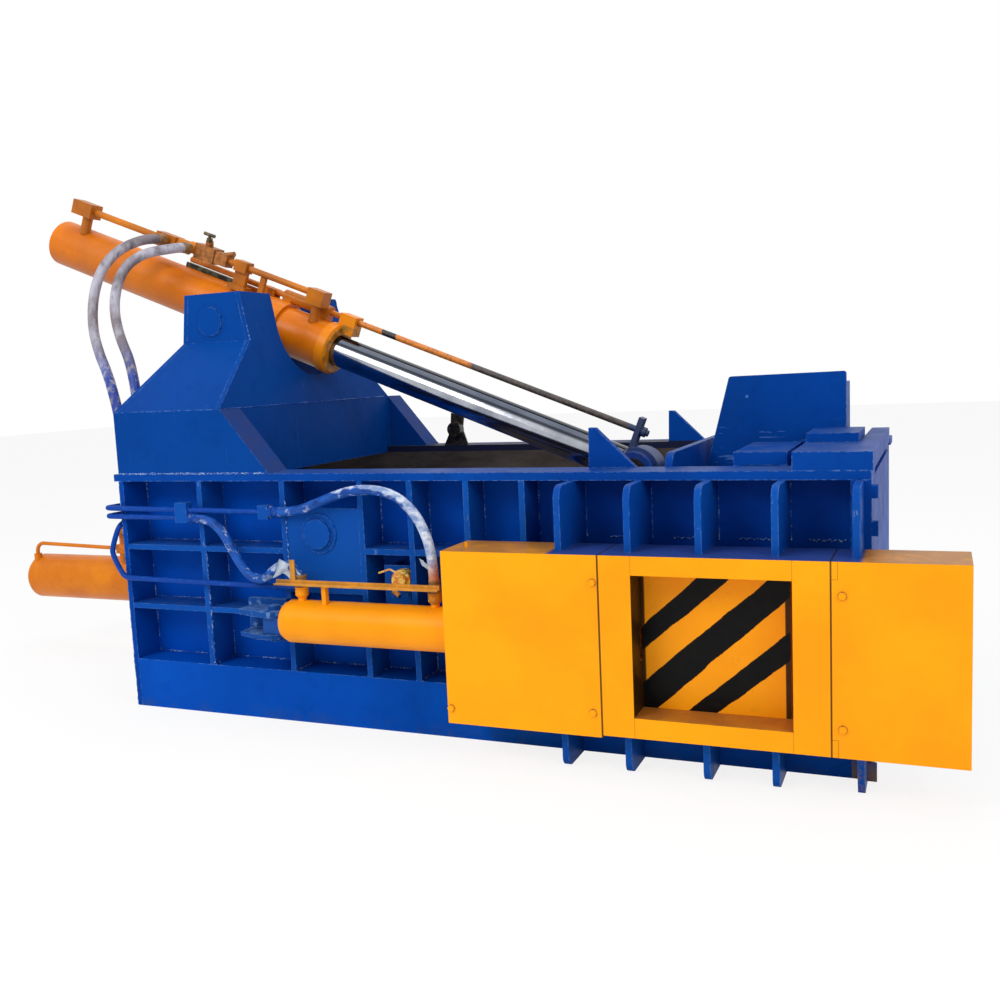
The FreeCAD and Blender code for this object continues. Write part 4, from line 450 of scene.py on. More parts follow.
# ---- Floor and studio light
# A pale seamless floor under a plain white surround; one broad lamp from the left of the camera, a
# weaker one from the right and one overhead keep the shadows soft.
bpy.ops.object.select_all(action="DESELECT")
bpy.ops.mesh.primitive_plane_add(size=60.0, location=(0.0, 0.0, 0.0))
floor = bpy.context.active_object
floor.name = "studio_floor"
floor_finish = Finish("pale_floor", roughness=0.9)
floor_finish.colour((250, 250, 250))
floor_glow = 0.84
seen = (floor_finish.node("LightPath", out="Is Camera Ray")
        + floor_finish.node("LightPath", out="Is Glossy Ray")) * floor_glow
lit_floor = Flow(floor_finish, floor_finish.shader.outputs[0])
glow = floor_finish.node("Emission", inputs={"Color": (255, 255, 255), "Strength": 1.0})
shown_floor = floor_finish.node("MixShader", inputs={0: seen, 1: lit_floor, 2: glow})
floor_finish.feed(floor_finish.tree.nodes["Material Output"].inputs["Surface"], shown_floor)
floor_finish.paint(floor)


class Surround(Finish):
    """The world's own nodes, made by the same method as a finish's."""

    def __init__(self, world):
        world.use_nodes = True
        self.tree = world.node_tree

    def either(self, first, second):
        """Add two masks and stop at 1."""
        return self.node("Math", {"operation": "ADD", "use_clamp": True}, {0: first, 1: second})


studio_world = bpy.data.worlds.new("studio")
bpy.context.scene.world = studio_world
studio = Surround(studio_world)
surround = studio.tree.nodes["Background"]
studio.feed(surround.inputs["Color"], (255, 255, 255))
studio.feed(surround.inputs["Strength"], 0.62)
seen_white = studio.node("Background", inputs={"Color": (255, 255, 255), "Strength": 1.0})
seen_rays = studio.either(studio.node("LightPath", out="Is Camera Ray"),
                          studio.node("LightPath", out="Is Transmission Ray"))
seen_rays = studio.either(seen_rays, studio.node("LightPath", out="Is Glossy Ray"))
shown_world = studio.node("MixShader", inputs={0: seen_rays, 1: Flow(studio, surround.outputs[0]),
                                               2: seen_white})
studio.feed(studio.tree.nodes["World Output"].inputs["Surface"], shown_world)

lamp_aim = Vector((0.0, 0.0, 0.9))
for lamp_name, lamp_at, power, size in (("left_lamp", (-3.5, -7.0, 6.5), 330.0, 4.0),
                                        ("right_lamp", (6.5, -5.0, 5.0), 150.0, 3.5),
                                        ("top_lamp", (0.0, 0.5, 8.0), 170.0, 5.0)):
    lamp_data = bpy.data.lights.new(lamp_name, "AREA")
    lamp_data.energy = power
    lamp_data.size = size
    lamp = bpy.data.objects.new(lamp_name, lamp_data)
    lamp.location = lamp_at
    lamp.rotation_mode = "QUATERNION"
    lamp.rotation_quaternion = (lamp_aim - Vector(lamp_at)).to_track_quat("-Z", "Y")
    bpy.context.collection.objects.link(lamp)

# ---- Base skid
# The long box beams and cross bars under the machine, welded from plate and sprayed royal blue in one
# coat; near the floor the paint is splashed and dull.
def sprayed_blue(name, plain, deep, worn_part=0.6):
    """One coat of blue: thin and heavy drifts, fine orange peel, pale worn corners."""
    finish = Finish(name, specular=0.03)
    heavy = finish.noise(10.0, 6.0, 0.6)
    finish.colour(finish.mix(finish.noise(1.4, 3.0).step(0.36, 0.64), deep, plain))
    finish.layer(heavy.step(0.54, 0.74) * 0.4, dimmed(deep, 0.7))
    worn = finish.edges(0.006) * finish.noise(46.0, 5.0, 0.7).step(0.46, 0.58)
    finish.layer(worn * worn_part, (112, 146, 196))
    finish.roughness(heavy * 0.3 + 0.27)
    finish.relief(finish.noise(170.0, 2.0) * 0.2 + heavy, 0.0022)
    return finish


skid_blue = sprayed_blue("skid_blue", (2, 80, 184), (2, 70, 166))
splashed = skid_blue.z.fall(0.0, 0.07) * skid_blue.noise(16.0, 5.0, 0.65).step(0.46, 0.66)
skid_blue.layer(splashed * 0.35, (60, 76, 96))
skid_blue.paint("base_skid")

# ---- Side walls
# Rolled plate with a second skin round the pressing chamber. Under the flange and in the pockets between
# the buttresses the plate is darkened with painted shade; the inner faces are scraped bare and greasy by the
# scrap.
wall_blue = sprayed_blue("wall_blue", (1, 80, 190), (1, 70, 172), 0.4)
flange_shade = wall_blue.z.step(0.90, 1.075) * wall_blue.noise(5.0, 4.0, 0.6).step(0.2, 0.6)
pocket = wall_blue.x.step(0.45, 0.60) * wall_blue.z.step(0.60, 0.70) * 0.30
# painted shade under the flange and in the pockets between the buttresses
wall_blue.layer((flange_shade * 0.12 + pocket).lesser(1.0), (4, 36, 96))
runs_down = wall_blue.noise(9.0, 5.0, 0.6, (1.0, 1.0, 0.12)).step(0.60, 0.72) * wall_blue.z.step(0.25, 0.6)
wall_blue.layer(runs_down * 0.2, (14, 84, 176))
inner_side = wall_blue.y.size().fall(0.657, 0.662)
scraped = wall_blue.noise(3.0, 6.0, 0.65, (0.3, 1.0, 1.0)).step(0.42, 0.60)
wall_blue.layer(inner_side, wall_blue.mix(scraped, (58, 52, 50), (96, 88, 82)))
wall_blue.paint("near_wall", "far_wall")

# ---- Ribs and stiffeners
# Flame-cut strips welded on edge in a grid; their front faces are lightened a little with painted light.
# Slings and hands have scuffed their front edges, and white grinding dust clings to the blue.
rib_blue = sprayed_blue("rib_blue", (12, 76, 162), (6, 66, 152))
front_edge = (-rib_blue.facing("Y")).step(0.90, 0.99)
# painted light: faces turned to the front are lightened a little
rib_blue.layer(front_edge * 0.2, (26, 86, 168))
boss_plate = (rib_blue.x.step(-0.745, -0.735) * rib_blue.x.fall(-0.374, -0.366)
              * rib_blue.z.step(0.58, 0.60) * rib_blue.z.fall(0.955, 0.97))
chalked = (front_edge * (1.0 - boss_plate)
           * rib_blue.noise(34.0, 6.0, 0.75, (1.0, 1.0, 0.5)).step(0.62, 0.70))
rib_blue.layer(chalked * 0.55, (140, 168, 206))
settled = rib_blue.facing("Z").step(0.7, 0.98) * rib_blue.noise(12.0, 5.0, 0.6).step(0.40, 0.62)
rib_blue.layer(settled * 0.4, (60, 88, 130))
last_foot = (rib_blue.x.step(1.58, 1.60) * rib_blue.z.fall(0.10, 0.16)
             * rib_blue.noise(60.0, 5.0, 0.7).step(0.46, 0.60))
rib_blue.layer(last_foot * 0.6, (112, 92, 96))
rib_blue.paint("near_side_ribs", "far_side_ribs", "near_buttress_ribs", "far_buttress_ribs", "pipe_clamps",
               "lid_hinge_shaft")

# ---- Top flanges
# Flat bars along both walls, with the plates across them. Their upper faces are dusty and walked on, and
# grease has crept over the edge on the far side.
flange_blue = sprayed_blue("flange_blue", (6, 70, 160), (4, 60, 144), 0.8)
flange_up = flange_blue.facing("Z").step(0.7, 0.98)
flange_blue.layer(flange_up * 0.4, (8, 46, 112))
trodden = flange_up * flange_blue.noise(5.0, 6.0, 0.65).step(0.34, 0.60)
flange_blue.layer(trodden * 0.4, (70, 88, 120))
far_grease = (flange_blue.y.step(0.60, 0.64) * flange_blue.y.fall(0.79, 0.81)
              * flange_blue.x.fall(0.78, 0.86) * flange_blue.z.fall(1.112, 1.116))
flange_blue.layer(far_grease * 0.9, (34, 32, 36))
flange_blue.paint("top_flanges", "roof_blocks", "cross_plate")

# ---- End plates
# One plate closes each end of the frame; the discharge end is the thickest piece of the machine. The
# roofs over the chamber and the ram and the ejector's housing carry the same coat.
end_blue = sprayed_blue("end_plate_blue", (3, 70, 164), (2, 60, 146))
end_grime = end_blue.noise(6.0, 6.0, 0.7, (1.0, 1.0, 0.3)).step(0.58, 0.72)
end_blue.layer(end_grime * 0.3, (44, 70, 98))
end_foot = end_blue.z.fall(0.03, 0.10) * end_blue.x.step(1.50, 1.56)
end_blue.layer(end_foot * 0.8, (132, 122, 96))
end_blue.paint("left_end_plate", "end_wall", "ejector_housing", "chamber_roof", "ram_roof")

# ---- Frame welds
# Hand-laid beads where the plates meet, uneven in width and height, with spatter and thin paint over
# them so that they look speckled.
weld_bead = Finish("speckled_weld", specular=0.15)
spatter = weld_bead.grains(150.0)
thin_paint = weld_bead.noise(24.0, 4.0, 0.6)
dusty_bead = (weld_bead.z.step(1.100, 1.104) * weld_bead.x.fall(-1.15, -0.95)
              * weld_bead.z.fall(1.13, 1.14))
wall_seam = weld_bead.z.near(0.843, 0.012, 0.014) * weld_bead.x.step(0.58, 0.59)
outer_bead = weld_bead.y.size().step(0.835, 0.840).greater(wall_seam)
covered = (thin_paint.step(0.46, 0.56) + (1.0 - outer_bead) * 0.35
           - (dusty_bead + wall_seam * 0.5) * 0.9).lesser(1.0).greater(0.0)
weld_bead.colour(weld_bead.mix(spatter.step(0.30, 0.55), (164, 190, 224), (12, 76, 164)))
weld_bead.layer(covered, (4, 68, 160))
weld_bead.roughness(thin_paint * 0.4 + 0.3)
weld_bead.relief(spatter, 0.002)


def weld_runs(name, runs, width, seed):
    """Lay one bead of weld along each straight run."""
    ripple = 0.013
    shake = 0.0012
    hand = random.Random(seed)
    bpy.ops.object.select_all(action="DESELECT")
    bpy.ops.curve.primitive_nurbs_path_add(location=(0.0, 0.0, 0.0))
    bead = bpy.context.active_object
    bead.name = name
    bead.data.splines.clear()
    for start, end in runs:
        start = Vector(start)
        end = Vector(end)
        steps = max(3, round((end - start).length / ripple))
        laid = bead.data.splines.new("POLY")
        laid.points.add(steps)
        for k, control in enumerate(laid.points):
            wander = Vector([hand.uniform(-shake, shake) for axis in range(3)])
            control.co = (*(start.lerp(end, k / steps) + wander), 1.0)
            control.radius = hand.uniform(0.65, 1.25)
    bead = round_section(bead, width / 2, 0)
    bpy.ops.object.shade_smooth()
    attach(bead, "frame")
    weld_bead.paint(bead)


def woven(start, along, across, count):
    """Short runs that swing from side to side, as a hand weaves the rod."""
    turns = [tuple(s + a * k + c * (k % 2) for s, a, c in zip(start, along, across))
             for k in range(count + 1)]
    return list(zip(turns, turns[1:]))


wall_face = 0.690
doubler_face = 0.715
frame_edge = 0.845
wall_foot, wall_top = 0.232, 1.075
wall_left, doubler_left, wall_right = -1.624, 0.568, 1.600
strip_width = 0.025
rib_places = (-1.205, -0.762, -0.374, -0.139, 0.117, 0.359)
buttress_places = (0.568, 0.834, 1.092, 1.356)
level_places = ((-1.625, -0.762, 0.770), (-1.625, -0.985, 0.489), (-0.374, 0.142, 0.777))
for side_name, side in (("near", -1.0), ("far", 1.0)):
    wall_y = side * wall_face
    doubler_y = side * doubler_face
    outer_y = side * (frame_edge - 0.004)
    upright_runs = []
    for rib_x in rib_places:
        for face_x in (rib_x, rib_x + strip_width):
            upright_runs.append(((face_x, wall_y, wall_foot), (face_x, wall_y, wall_top)))
            upright_runs.append(((face_x, wall_y, wall_foot), (face_x, outer_y, wall_foot)))
    weld_runs(side_name + "_rib_welds", upright_runs, 0.011, 11)
    level_runs = [((wall_left, wall_y, wall_foot), (wall_right, wall_y, wall_foot)),
                  ((wall_left, wall_y, wall_top), (doubler_left, wall_y, wall_top)),
                  ((doubler_left, doubler_y, wall_top), (wall_right, doubler_y, wall_top)),
                  ((wall_left, wall_y, wall_foot), (wall_left, wall_y, wall_top))]
    for left_x, right_x, level_z in level_places:
        for face_z in (level_z - strip_width / 2, level_z + strip_width / 2):
            level_runs.append(((left_x, wall_y, face_z), (right_x, wall_y, face_z)))
    weld_runs(side_name + "_level_welds", level_runs, 0.010, 23)
weld_runs("near_wall_seam_weld", [((0.128, -wall_face, 0.800), (0.140, -wall_face, 1.070)),
                                  ((0.566, -wall_face, 0.235), (0.566, -wall_face, 1.074))], 0.012, 31)

housing_top = 0.838
buttress_runs = [((face_x, -doubler_face, housing_top), (face_x, -doubler_face, 1.074))
                 for buttress_x in buttress_places for face_x in (buttress_x, buttress_x + strip_width)]
weld_runs("near_buttress_welds", buttress_runs, 0.011, 41)
pocket_dashes = []
for pocket_x in (0.690, 0.945, 1.190, 1.440):
    pocket_dashes += woven((pocket_x, -0.7155, housing_top), (0.015, 0.0, 0.0), (0.0, 0.0, 0.006), 9)
weld_runs("near_buttress_seam", pocket_dashes, 0.008, 47)
weave_rise = 0.018
upright_weave = []
for left_x, seam_y, low_z, high_z in ((-0.737, -0.8465, 0.60, 0.99), (-1.178, -0.8455, 0.24, 0.77)):
    upright_weave += woven((left_x, seam_y, low_z), (0.0, 0.0, weave_rise), (0.005, 0.0, 0.0),
                           round((high_z - low_z) / weave_rise))
weld_runs("near_weave_welds", upright_weave, 0.006, 59)
weld_runs("left_corner_welds", [((-1.651, corner_y, 0.005), (-1.651, corner_y, 1.074))
                                for corner_y in (-0.843, 0.843)], 0.006, 43)

# ---- Cylinder tower
# A folded and welded box of plate that carries the lid cylinder on two trunnion bushes. Its large near
# face leans in, carries a broad soft patch of painted reflection, and has a few scratches and a dark ring.
trunnion_x, trunnion_z = -1.320, 1.803
tower_blue = sprayed_blue("tower_blue", (4, 66, 146), (3, 60, 136), 0.5)
lean_face = (-tower_blue.facing("Y")).step(0.4, 0.7)
# painted reflection: a broad soft patch on the near face
tower_blue.layer(lean_face * tower_blue.noise(1.1, 2.0).step(0.35, 0.65) * 0.25, (3, 62, 150))
fine_lines = tower_blue.scratches(30.0, (1.0, 1.0, 0.06), 2.7, 0.67)
tower_blue.layer(fine_lines * 0.12, (60, 110, 182))
bush_ring = (tower_blue.spot(trunnion_x, trunnion_z, 0.088, 0.001)
             - tower_blue.spot(trunnion_x, trunnion_z, 0.083, 0.001))
tower_blue.layer(bush_ring.greater(0.0) * 0.3, (6, 44, 112))
# the sloping strut faces turned up and towards +X are darkened to grey-blue in blotches
strut_face = (tower_blue.facing("Z").step(0.3, 0.4) * tower_blue.facing("Z").fall(0.80, 0.90)
              * tower_blue.facing("X").step(0.5, 0.6) * tower_blue.y.size().step(0.66, 0.67))
strut_darkening = tower_blue.noise(11.0, 5.0, 0.6, (1.0, 0.4, 1.0)).step(0.3, 0.6) * 0.35 + 0.4
tower_blue.layer(strut_face * strut_darkening, (44, 58, 108))
tower_up = tower_blue.facing("Z").step(0.75, 0.98) * tower_blue.noise(9.0, 5.0, 0.6).step(0.4, 0.62)
tower_blue.layer(tower_up * 0.4, (60, 88, 128))
tower_blue.paint("tower_side_boxes", "tower_front_plate", "tower_rear_plate", "tower_cheeks")
weld_runs("tower_welds", [((-1.1018, -0.505, 1.706), (-1.143, -0.505, 1.930)),
                          ((-1.1018, 0.350, 1.706), (-1.143, 0.350, 1.930)),
                          ((-1.0455, -0.800, 1.397), (-1.0455, 0.660, 1.397))], 0.005, 53)
weld_runs("tower_foot_welds", [((-1.645, foot_y, 1.112), (-0.812, foot_y, 1.112))
                               for foot_y in (-0.8445, 0.8445)], 0.010, 61)

# ---- Lid
# The heavy lid and its cross ribs, welded up from plate round the hinge barrels; it is blue outside and
# polished to grey-brown steel where scrap rubs.
lid_blue = sprayed_blue("lid_blue", (5, 64, 152), (4, 52, 130), 0.9)
lid_up = lid_blue.facing("Z").step(0.7, 0.98) * lid_blue.noise(8.0, 5.0, 0.65).step(0.36, 0.60)
lid_blue.layer(lid_up * 0.6, (74, 84, 104))
lid_rub = lid_blue.noise(4.0, 6.0, 0.65).step(0.44, 0.62)
lid_low = lid_blue.z.fall(0.80, 0.86)
lid_blue.layer((lid_rub * 0.5 + lid_low).lesser(1.0), (72, 64, 58))
lid_blue.paint("lid_frame")

# ---- Chamber steel
# Bare wear parts: liner, blades, ram and ejector faces. Hot-rolled steel, ground by scrap in the
# direction of travel and stained brown by oil and rust.
steel = Finish("worn_chamber_steel", roughness=0.5, metallic=0.7, specular=0.4)
mill_scale = steel.noise(5.0, 6.0, 0.6)
dragged = steel.noise(14.0, 5.0, 0.7, (0.06, 1.0, 1.0))
steel.colour(steel.mix(mill_scale.step(0.42, 0.60), (70, 56, 46), (108, 100, 92)))
steel.layer(dragged.step(0.54, 0.64) * 0.7, (150, 146, 140))
steel.roughness(mill_scale * 0.5 + 0.25)
steel.relief(dragged + mill_scale, 0.0015)
steel.paint("floor_liner", "fixed_shear_blade", "lid_blade", "ram_head", "ram_shoes", "ejector_platen")

# ---- Greasy fittings
# The limit switch bracket and the pins are bare steel turned black by grease, which fills their
# corners and shines where it is fresh.
grease = Finish("greasy_steel", roughness=0.35, metallic=0.5, specular=0.5)
grease.mottle(grease.noise(26.0, 5.0, 0.65), (0.46, 0.62), (30, 26, 24), (74, 66, 56), 0.5, 0.1, 0.002)
grease.paint("limit_switch_bracket", "lid_pin", "gate_pin")

# ---- Centre guide plate
# The tall plate that steers the lid, flame cut and welded on edge; it is blue with oily smears, rubbed
# marks near its foot and one pale chip.
guide_blue = sprayed_blue("guide_plate_blue", (4, 68, 156), (3, 60, 142))
wiped = guide_blue.noise(3.2, 5.0, 0.6, (1.0, 1.0, 0.5), 1.4).step(0.50, 0.66)
guide_blue.layer(wiped * 0.3, (14, 60, 126))
rubbed = guide_blue.scratches(46.0, (0.12, 1.0, 1.0), 4.1, 0.62) * guide_blue.z.fall(1.18, 1.26)
guide_blue.layer(rubbed * 0.4, (96, 140, 204))
guide_blue.layer(guide_blue.spot(1.120, 1.352, 0.006, 0.002) * 0.7, (90, 130, 196))
guide_blue.paint("centre_guide_plate")

# ---- Lid cylinder
# Honed tube with a welded trunnion ring, screwed gland and top fittings, sprayed orange after assembly.
# Dust and thinner have dulled the upper end to a mauve brown.
slope_cos, slope_sin = 0.92930, 0.36933


def along_cylinder(finish):
    """How far a point lies from the trunnions along the cylinder, towards its rod."""
    return (finish.x - trunnion_x) * slope_cos - (finish.z - trunnion_z) * slope_sin


def above_cylinder(finish):
    """How far a point lies above the cylinder's centre line."""
    return (finish.x - trunnion_x) * slope_sin + (finish.z - trunnion_z) * slope_cos


def sprayed_orange(name, plain, deep):
    """Orange enamel over bare steel: cloudy in the spray's overlaps, chipped dark on the corners."""
    finish = Finish(name, specular=0.2)
    cloud = finish.noise(4.0, 5.0, 0.6)
    fine = finish.noise(36.0, 5.0, 0.65)
    finish.colour(finish.mix(cloud.step(0.36, 0.66), deep, plain))
    finish.layer(fine.step(0.60, 0.74) * 0.4, dimmed(deep, 0.6))
    chipped = finish.edges(0.004) * finish.noise(70.0, 5.0, 0.7).step(0.54, 0.62)
    finish.layer(chipped * 0.7, (84, 62, 44))
    finish.roughness(fine * 0.3 + 0.2)
    finish.relief(finish.noise(150.0, 2.0) * 0.2 + cloud, 0.0010)
    return finish


barrel_orange = sprayed_orange("lid_barrel_orange", (226, 124, 8), (206, 106, 10))
upper_end = along_cylinder(barrel_orange).fall(-1.25, -0.10)
dulled = upper_end * barrel_orange.noise(3.0, 5.0, 0.6).step(0.30, 0.62)
barrel_orange.layer(dulled * 0.5, (184, 108, 44))
shaded_under = (-barrel_orange.facing("Z")).step(0.1, 0.9)
barrel_orange.layer(shaded_under * 0.5, (150, 76, 14))
barrel_orange.paint("lid_cylinder_barrel")

gland_orange = sprayed_orange("gland_orange", (236, 140, 10), (220, 122, 10))
mouth = along_cylinder(gland_orange).step(0.405, 0.413) * above_cylinder(gland_orange).fall(0.130, 0.140)
mouth_grime = gland_orange.noise(30.0, 4.0, 0.6).step(0.35, 0.6)
gland_orange.layer(mouth * mouth_grime * 0.8, (106, 92, 40))
gland_orange.paint("lid_gland_ring")

fitting_coat = sprayed_orange("cylinder_fitting_orange", (206, 120, 22), (164, 92, 24))
fitting_along = along_cylinder(fitting_coat)
rail_part = (above_cylinder(fitting_coat).fall(0.147, 0.149) * fitting_along.fall(-0.262, -0.258)
             * fitting_along.step(-0.80, -0.79))
rail_oil = fitting_coat.noise(20.0, 4.0).step(0.45, 0.6)
fitting_coat.layer(rail_part, fitting_coat.mix(rail_oil, (34, 32, 34), (92, 92, 64)))
fitting_coat.paint("lid_cylinder_brackets", "lid_cylinder_oil_line")

# ---- Needle valve
# A small forged valve in the oil line, half covered with orange overspray over a brown phosphate coat,
# and its zinc-plated T handle, darkened by greasy hands.
valve_brown = Finish("phosphated_valve", metallic=0.3, specular=0.4)
valve_brown.mottle(valve_brown.noise(44.0, 5.0, 0.65), (0.40, 0.60), (132, 80, 38),
                   (174, 108, 44), 0.4, 0.25, 0.0012)
valve_brown.paint("needle_valve_body")
handle_grey = Finish("handled_zinc", roughness=0.45, metallic=0.4, specular=0.3)
handle_grey.mottle(handle_grey.noise(60.0, 4.0, 0.6), (0.42, 0.58), (62, 56, 44),
                   (116, 100, 70), 0.3, 0.3, 0.0006)
handle_grey.paint("needle_valve_handle")

# ---- Lid rod
# Hard-chromed bar, ground and polished round, with a thin oil film that gathers in fine rings, a painted
# dark reflection along its upper side, and a blue-sprayed eye at its end.
rod_chrome = Finish("hard_chrome", roughness=0.14, metallic=1.0)
oil_film = rod_chrome.noise(5.0, 5.0, 0.6, (1.0, 3.0, 1.0))
rod_chrome.colour(rod_chrome.mix(oil_film.step(0.42, 0.66), (176, 180, 188), (136, 140, 152)))
dark_top_reflection = rod_chrome.facing("Z").step(0.36, 0.50)
# painted reflection: the upper side of the rod is darkened
rod_chrome.layer(dark_top_reflection * 0.92, (40, 46, 58))
eye_part = along_cylinder(rod_chrome).step(2.005, 2.02)
rod_chrome.layer(eye_part, (10, 42, 98))
rod_chrome.roughness(eye_part * 0.35 + oil_film * 0.1 + 0.08)
rod_chrome.feed(rod_chrome.shader.inputs["Metallic"], 1.0 - eye_part)
rod_chrome.relief(oil_film, 0.0004)
rod_chrome.paint("lid_rod")

# ---- Indicator rod
# A thin bar that follows the lid rod; it was painted orange with one black band, and its lower part is
# bare and dark, down to the blue lug that holds it.
indicator = Finish("indicator_paint", specular=0.4)
indicator_grain = indicator.noise(50.0, 5.0, 0.65)
indicator.colour(indicator.mix(indicator_grain.step(0.5, 0.7), (206, 116, 24), (140, 84, 34)))
black_band = indicator.x.step(-0.682, -0.678) * indicator.x.fall(-0.606, -0.602)
indicator.layer(black_band, (22, 20, 22))
bare_bar = indicator.mix(indicator_grain.step(0.4, 0.6), (48, 42, 46), (80, 68, 62))
indicator.layer(indicator.x.step(-0.215, -0.195), bare_bar)
lug_part = indicator.x.step(0.565, 0.58)
indicator.layer(lug_part * 0.8, (24, 52, 96))
indicator.roughness(indicator_grain * 0.3 + 0.25)
indicator.relief(indicator_grain, 0.0008)
indicator.paint("indicator_rod")

# ---- Other rods
# The ram, gate and ejector rods are the same hard chrome, ground round and clean, because they are seen
# only when the machine moves.
plain_chrome = Finish("rod_chrome", roughness=0.15, metallic=1.0)
plain_chrome.mottle(plain_chrome.noise(120.0, 3.0, 0.6, (1.0, 0.1, 1.0)), (0.4, 0.7),
                    (186, 188, 194), (160, 162, 170), 0.12, 0.08, 0.0002)
plain_chrome.paint("main_rod", "gate_rod", "ejector_rod")

# ---- Main and ejector cylinders
# The same sprayed tube as the lid cylinder; the main cylinder's rear stands out of the frame, and rust
# has bled through on its upper side.
main_orange = sprayed_orange("main_barrel_orange", (228, 132, 12), (206, 110, 10))
bled = (main_orange.z.step(0.50, 0.60) * main_orange.noise(22.0, 5.0, 0.65).step(0.46, 0.6)
        * main_orange.x.step(-2.60, -2.40) * main_orange.x.fall(-1.60, -1.50))
main_orange.layer(bled * 0.7, (110, 58, 30))
main_orange.paint("main_cylinder_barrel", "main_port_pipe", "ejector_cylinder_barrel")

# ---- Gate housing and guards
# Posts and bars of thick plate with folded sheet guards beside them, sprayed golden yellow; the joints
# between them show as thin dark lines, the upper faces hold brown dust, and the sill inside the opening is
# darkened with painted shade.
def sprayed_yellow(name, plain, deep):
    """Golden enamel in one even coat, a little thin on the corners."""
    finish = Finish(name, specular=0.12)
    cloud = finish.noise(2.2, 4.0, 0.55)
    fine = finish.noise(60.0, 5.0, 0.65)
    finish.colour(finish.mix(cloud.step(0.36, 0.64), deep, plain))
    finish.layer(fine.step(0.66, 0.78) * 0.3, dimmed(deep, 0.8))
    worn = finish.edges(0.004) * finish.noise(60.0, 5.0, 0.7).step(0.50, 0.62)
    finish.layer(worn * 0.5, (186, 122, 40))
    finish.roughness(fine * 0.25 + 0.25)
    finish.relief(finish.noise(150.0, 2.0) * 0.2 + cloud, 0.0014)
    return finish


housing_yellow = sprayed_yellow("housing_yellow", (251, 166, 6), (244, 153, 6))
housing_up = housing_yellow.facing("Z").step(0.7, 0.98)
housing_dust = housing_up * (housing_yellow.noise(9.0, 5.0, 0.65).step(0.30, 0.55) * 0.35 + 0.55)
housing_yellow.layer(housing_dust, (152, 102, 48))
below_top = housing_yellow.z.fall(0.79, 0.80)
shaded_sill = (housing_yellow.y.step(-1.090, -1.070) * below_top * housing_up
        * housing_yellow.x.step(0.86, 0.88) * housing_yellow.x.fall(1.43, 1.44))
# painted shade: the sill inside the gate opening is darkened to brown
housing_yellow.layer(shaded_sill * 0.5, (176, 100, 34))
seam_front = (-housing_yellow.facing("Y")).step(0.9, 0.99)
seams = (housing_yellow.x.near(0.8735, 0.0010, 0.0022)
         + housing_yellow.x.near(1.4310, 0.0010, 0.0022)) * seam_front
housing_yellow.layer(seams.lesser(1.0) * 0.45, (150, 88, 24))
top_spray = (housing_up * housing_yellow.z.step(0.78, 0.79) * housing_yellow.x.step(0.545, 0.560)
             * housing_yellow.x.fall(1.645, 1.660) * housing_yellow.y.step(-1.104, -1.098))
housing_yellow.layer(top_spray * 0.95, (1, 58, 130))
black_jamb = (housing_yellow.facing("X").step(0.9, 0.99) * housing_yellow.x.step(0.855, 0.860)
              * housing_yellow.x.fall(0.890, 0.895) * housing_yellow.y.step(-1.1045, -1.1035) * below_top)
housing_yellow.layer(black_jamb * 0.97, (8, 7, 7))
left_joint = housing_yellow.x.near(0.7515, 0.0030, 0.0042)
right_joint = housing_yellow.x.near(1.5555, 0.0024, 0.0038)
housing_yellow.layer((left_joint + right_joint).lesser(1.0) * 0.85, (44, 30, 16))
housing_yellow.paint("gate_frame", "gate_left_guard", "gate_right_guard", "guard_bolts")

# ---- Guard washers
# Pressed steel washers under the heads of the guards' screws, darker than the sheet because grease
# creeps out round them.
washer_grime = Finish("greasy_washer", metallic=0.4, specular=0.4)
washer_grime.mottle(washer_grime.noise(120.0, 4.0), (0.4, 0.6), (150, 98, 26),
                    (206, 136, 28), 0.3, 0.3, 0.0005)
guard_face = -1.096
washer_profile = ((0.0, 0.0155), (0.0016, 0.0155), (0.0026, 0.0142), (0.0026, 0.0110))
screw_places = ((0.730, 0.735), (0.718, 0.248), (0.141, 0.217), (1.592, 0.721), (1.592, 0.265))
first_washer = turned("guard_washer_1", 28, washer_profile, (0.0, guard_face, 0.0), outward)
moved_x, moved_z = 0.0, 0.0
for number, (screw_x, screw_z) in enumerate(screw_places, 1):
    washer = first_washer
    if number > 1:
        washer = first_washer.copy()
        washer.data = first_washer.data.copy()
        washer.name = "guard_washer_%d" % number
        bpy.context.collection.objects.link(washer)
        moved_x, moved_z = screw_places[0]
    washer.data.transform(Matrix.Translation((screw_x - moved_x, 0.0, screw_z - moved_z)))
    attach(washer, "frame")
    washer_grime.paint(washer)

# ---- Gate plate
# The sliding gate is one thick plate. Its face is yellow with three slanting black bands brushed on by
# hand, so their edges waver and the brush has left streaks along them.
gate_yellow = sprayed_yellow("gate_plate_yellow", (250, 162, 14), (238, 148, 14))
ragged = gate_yellow.noise(7.0, 4.0, 0.55, (1.0, 1.0, 1.0), 4.2) - 0.5
bristle = gate_yellow.noise(70.0, 3.0, 0.6, (1.0, 1.0, 1.0), 8.8) - 0.5


def below_line(low, high):
    """How far a point lies below and right of the line from low to high."""
    run = high[0] - low[0]
    rise = high[1] - low[1]
    reach = math.hypot(run, rise)
    return ((gate_yellow.x - low[0]) * (rise / reach) - (gate_yellow.z - low[1]) * (run / reach)
            + ragged * 0.018 + bristle * 0.004)


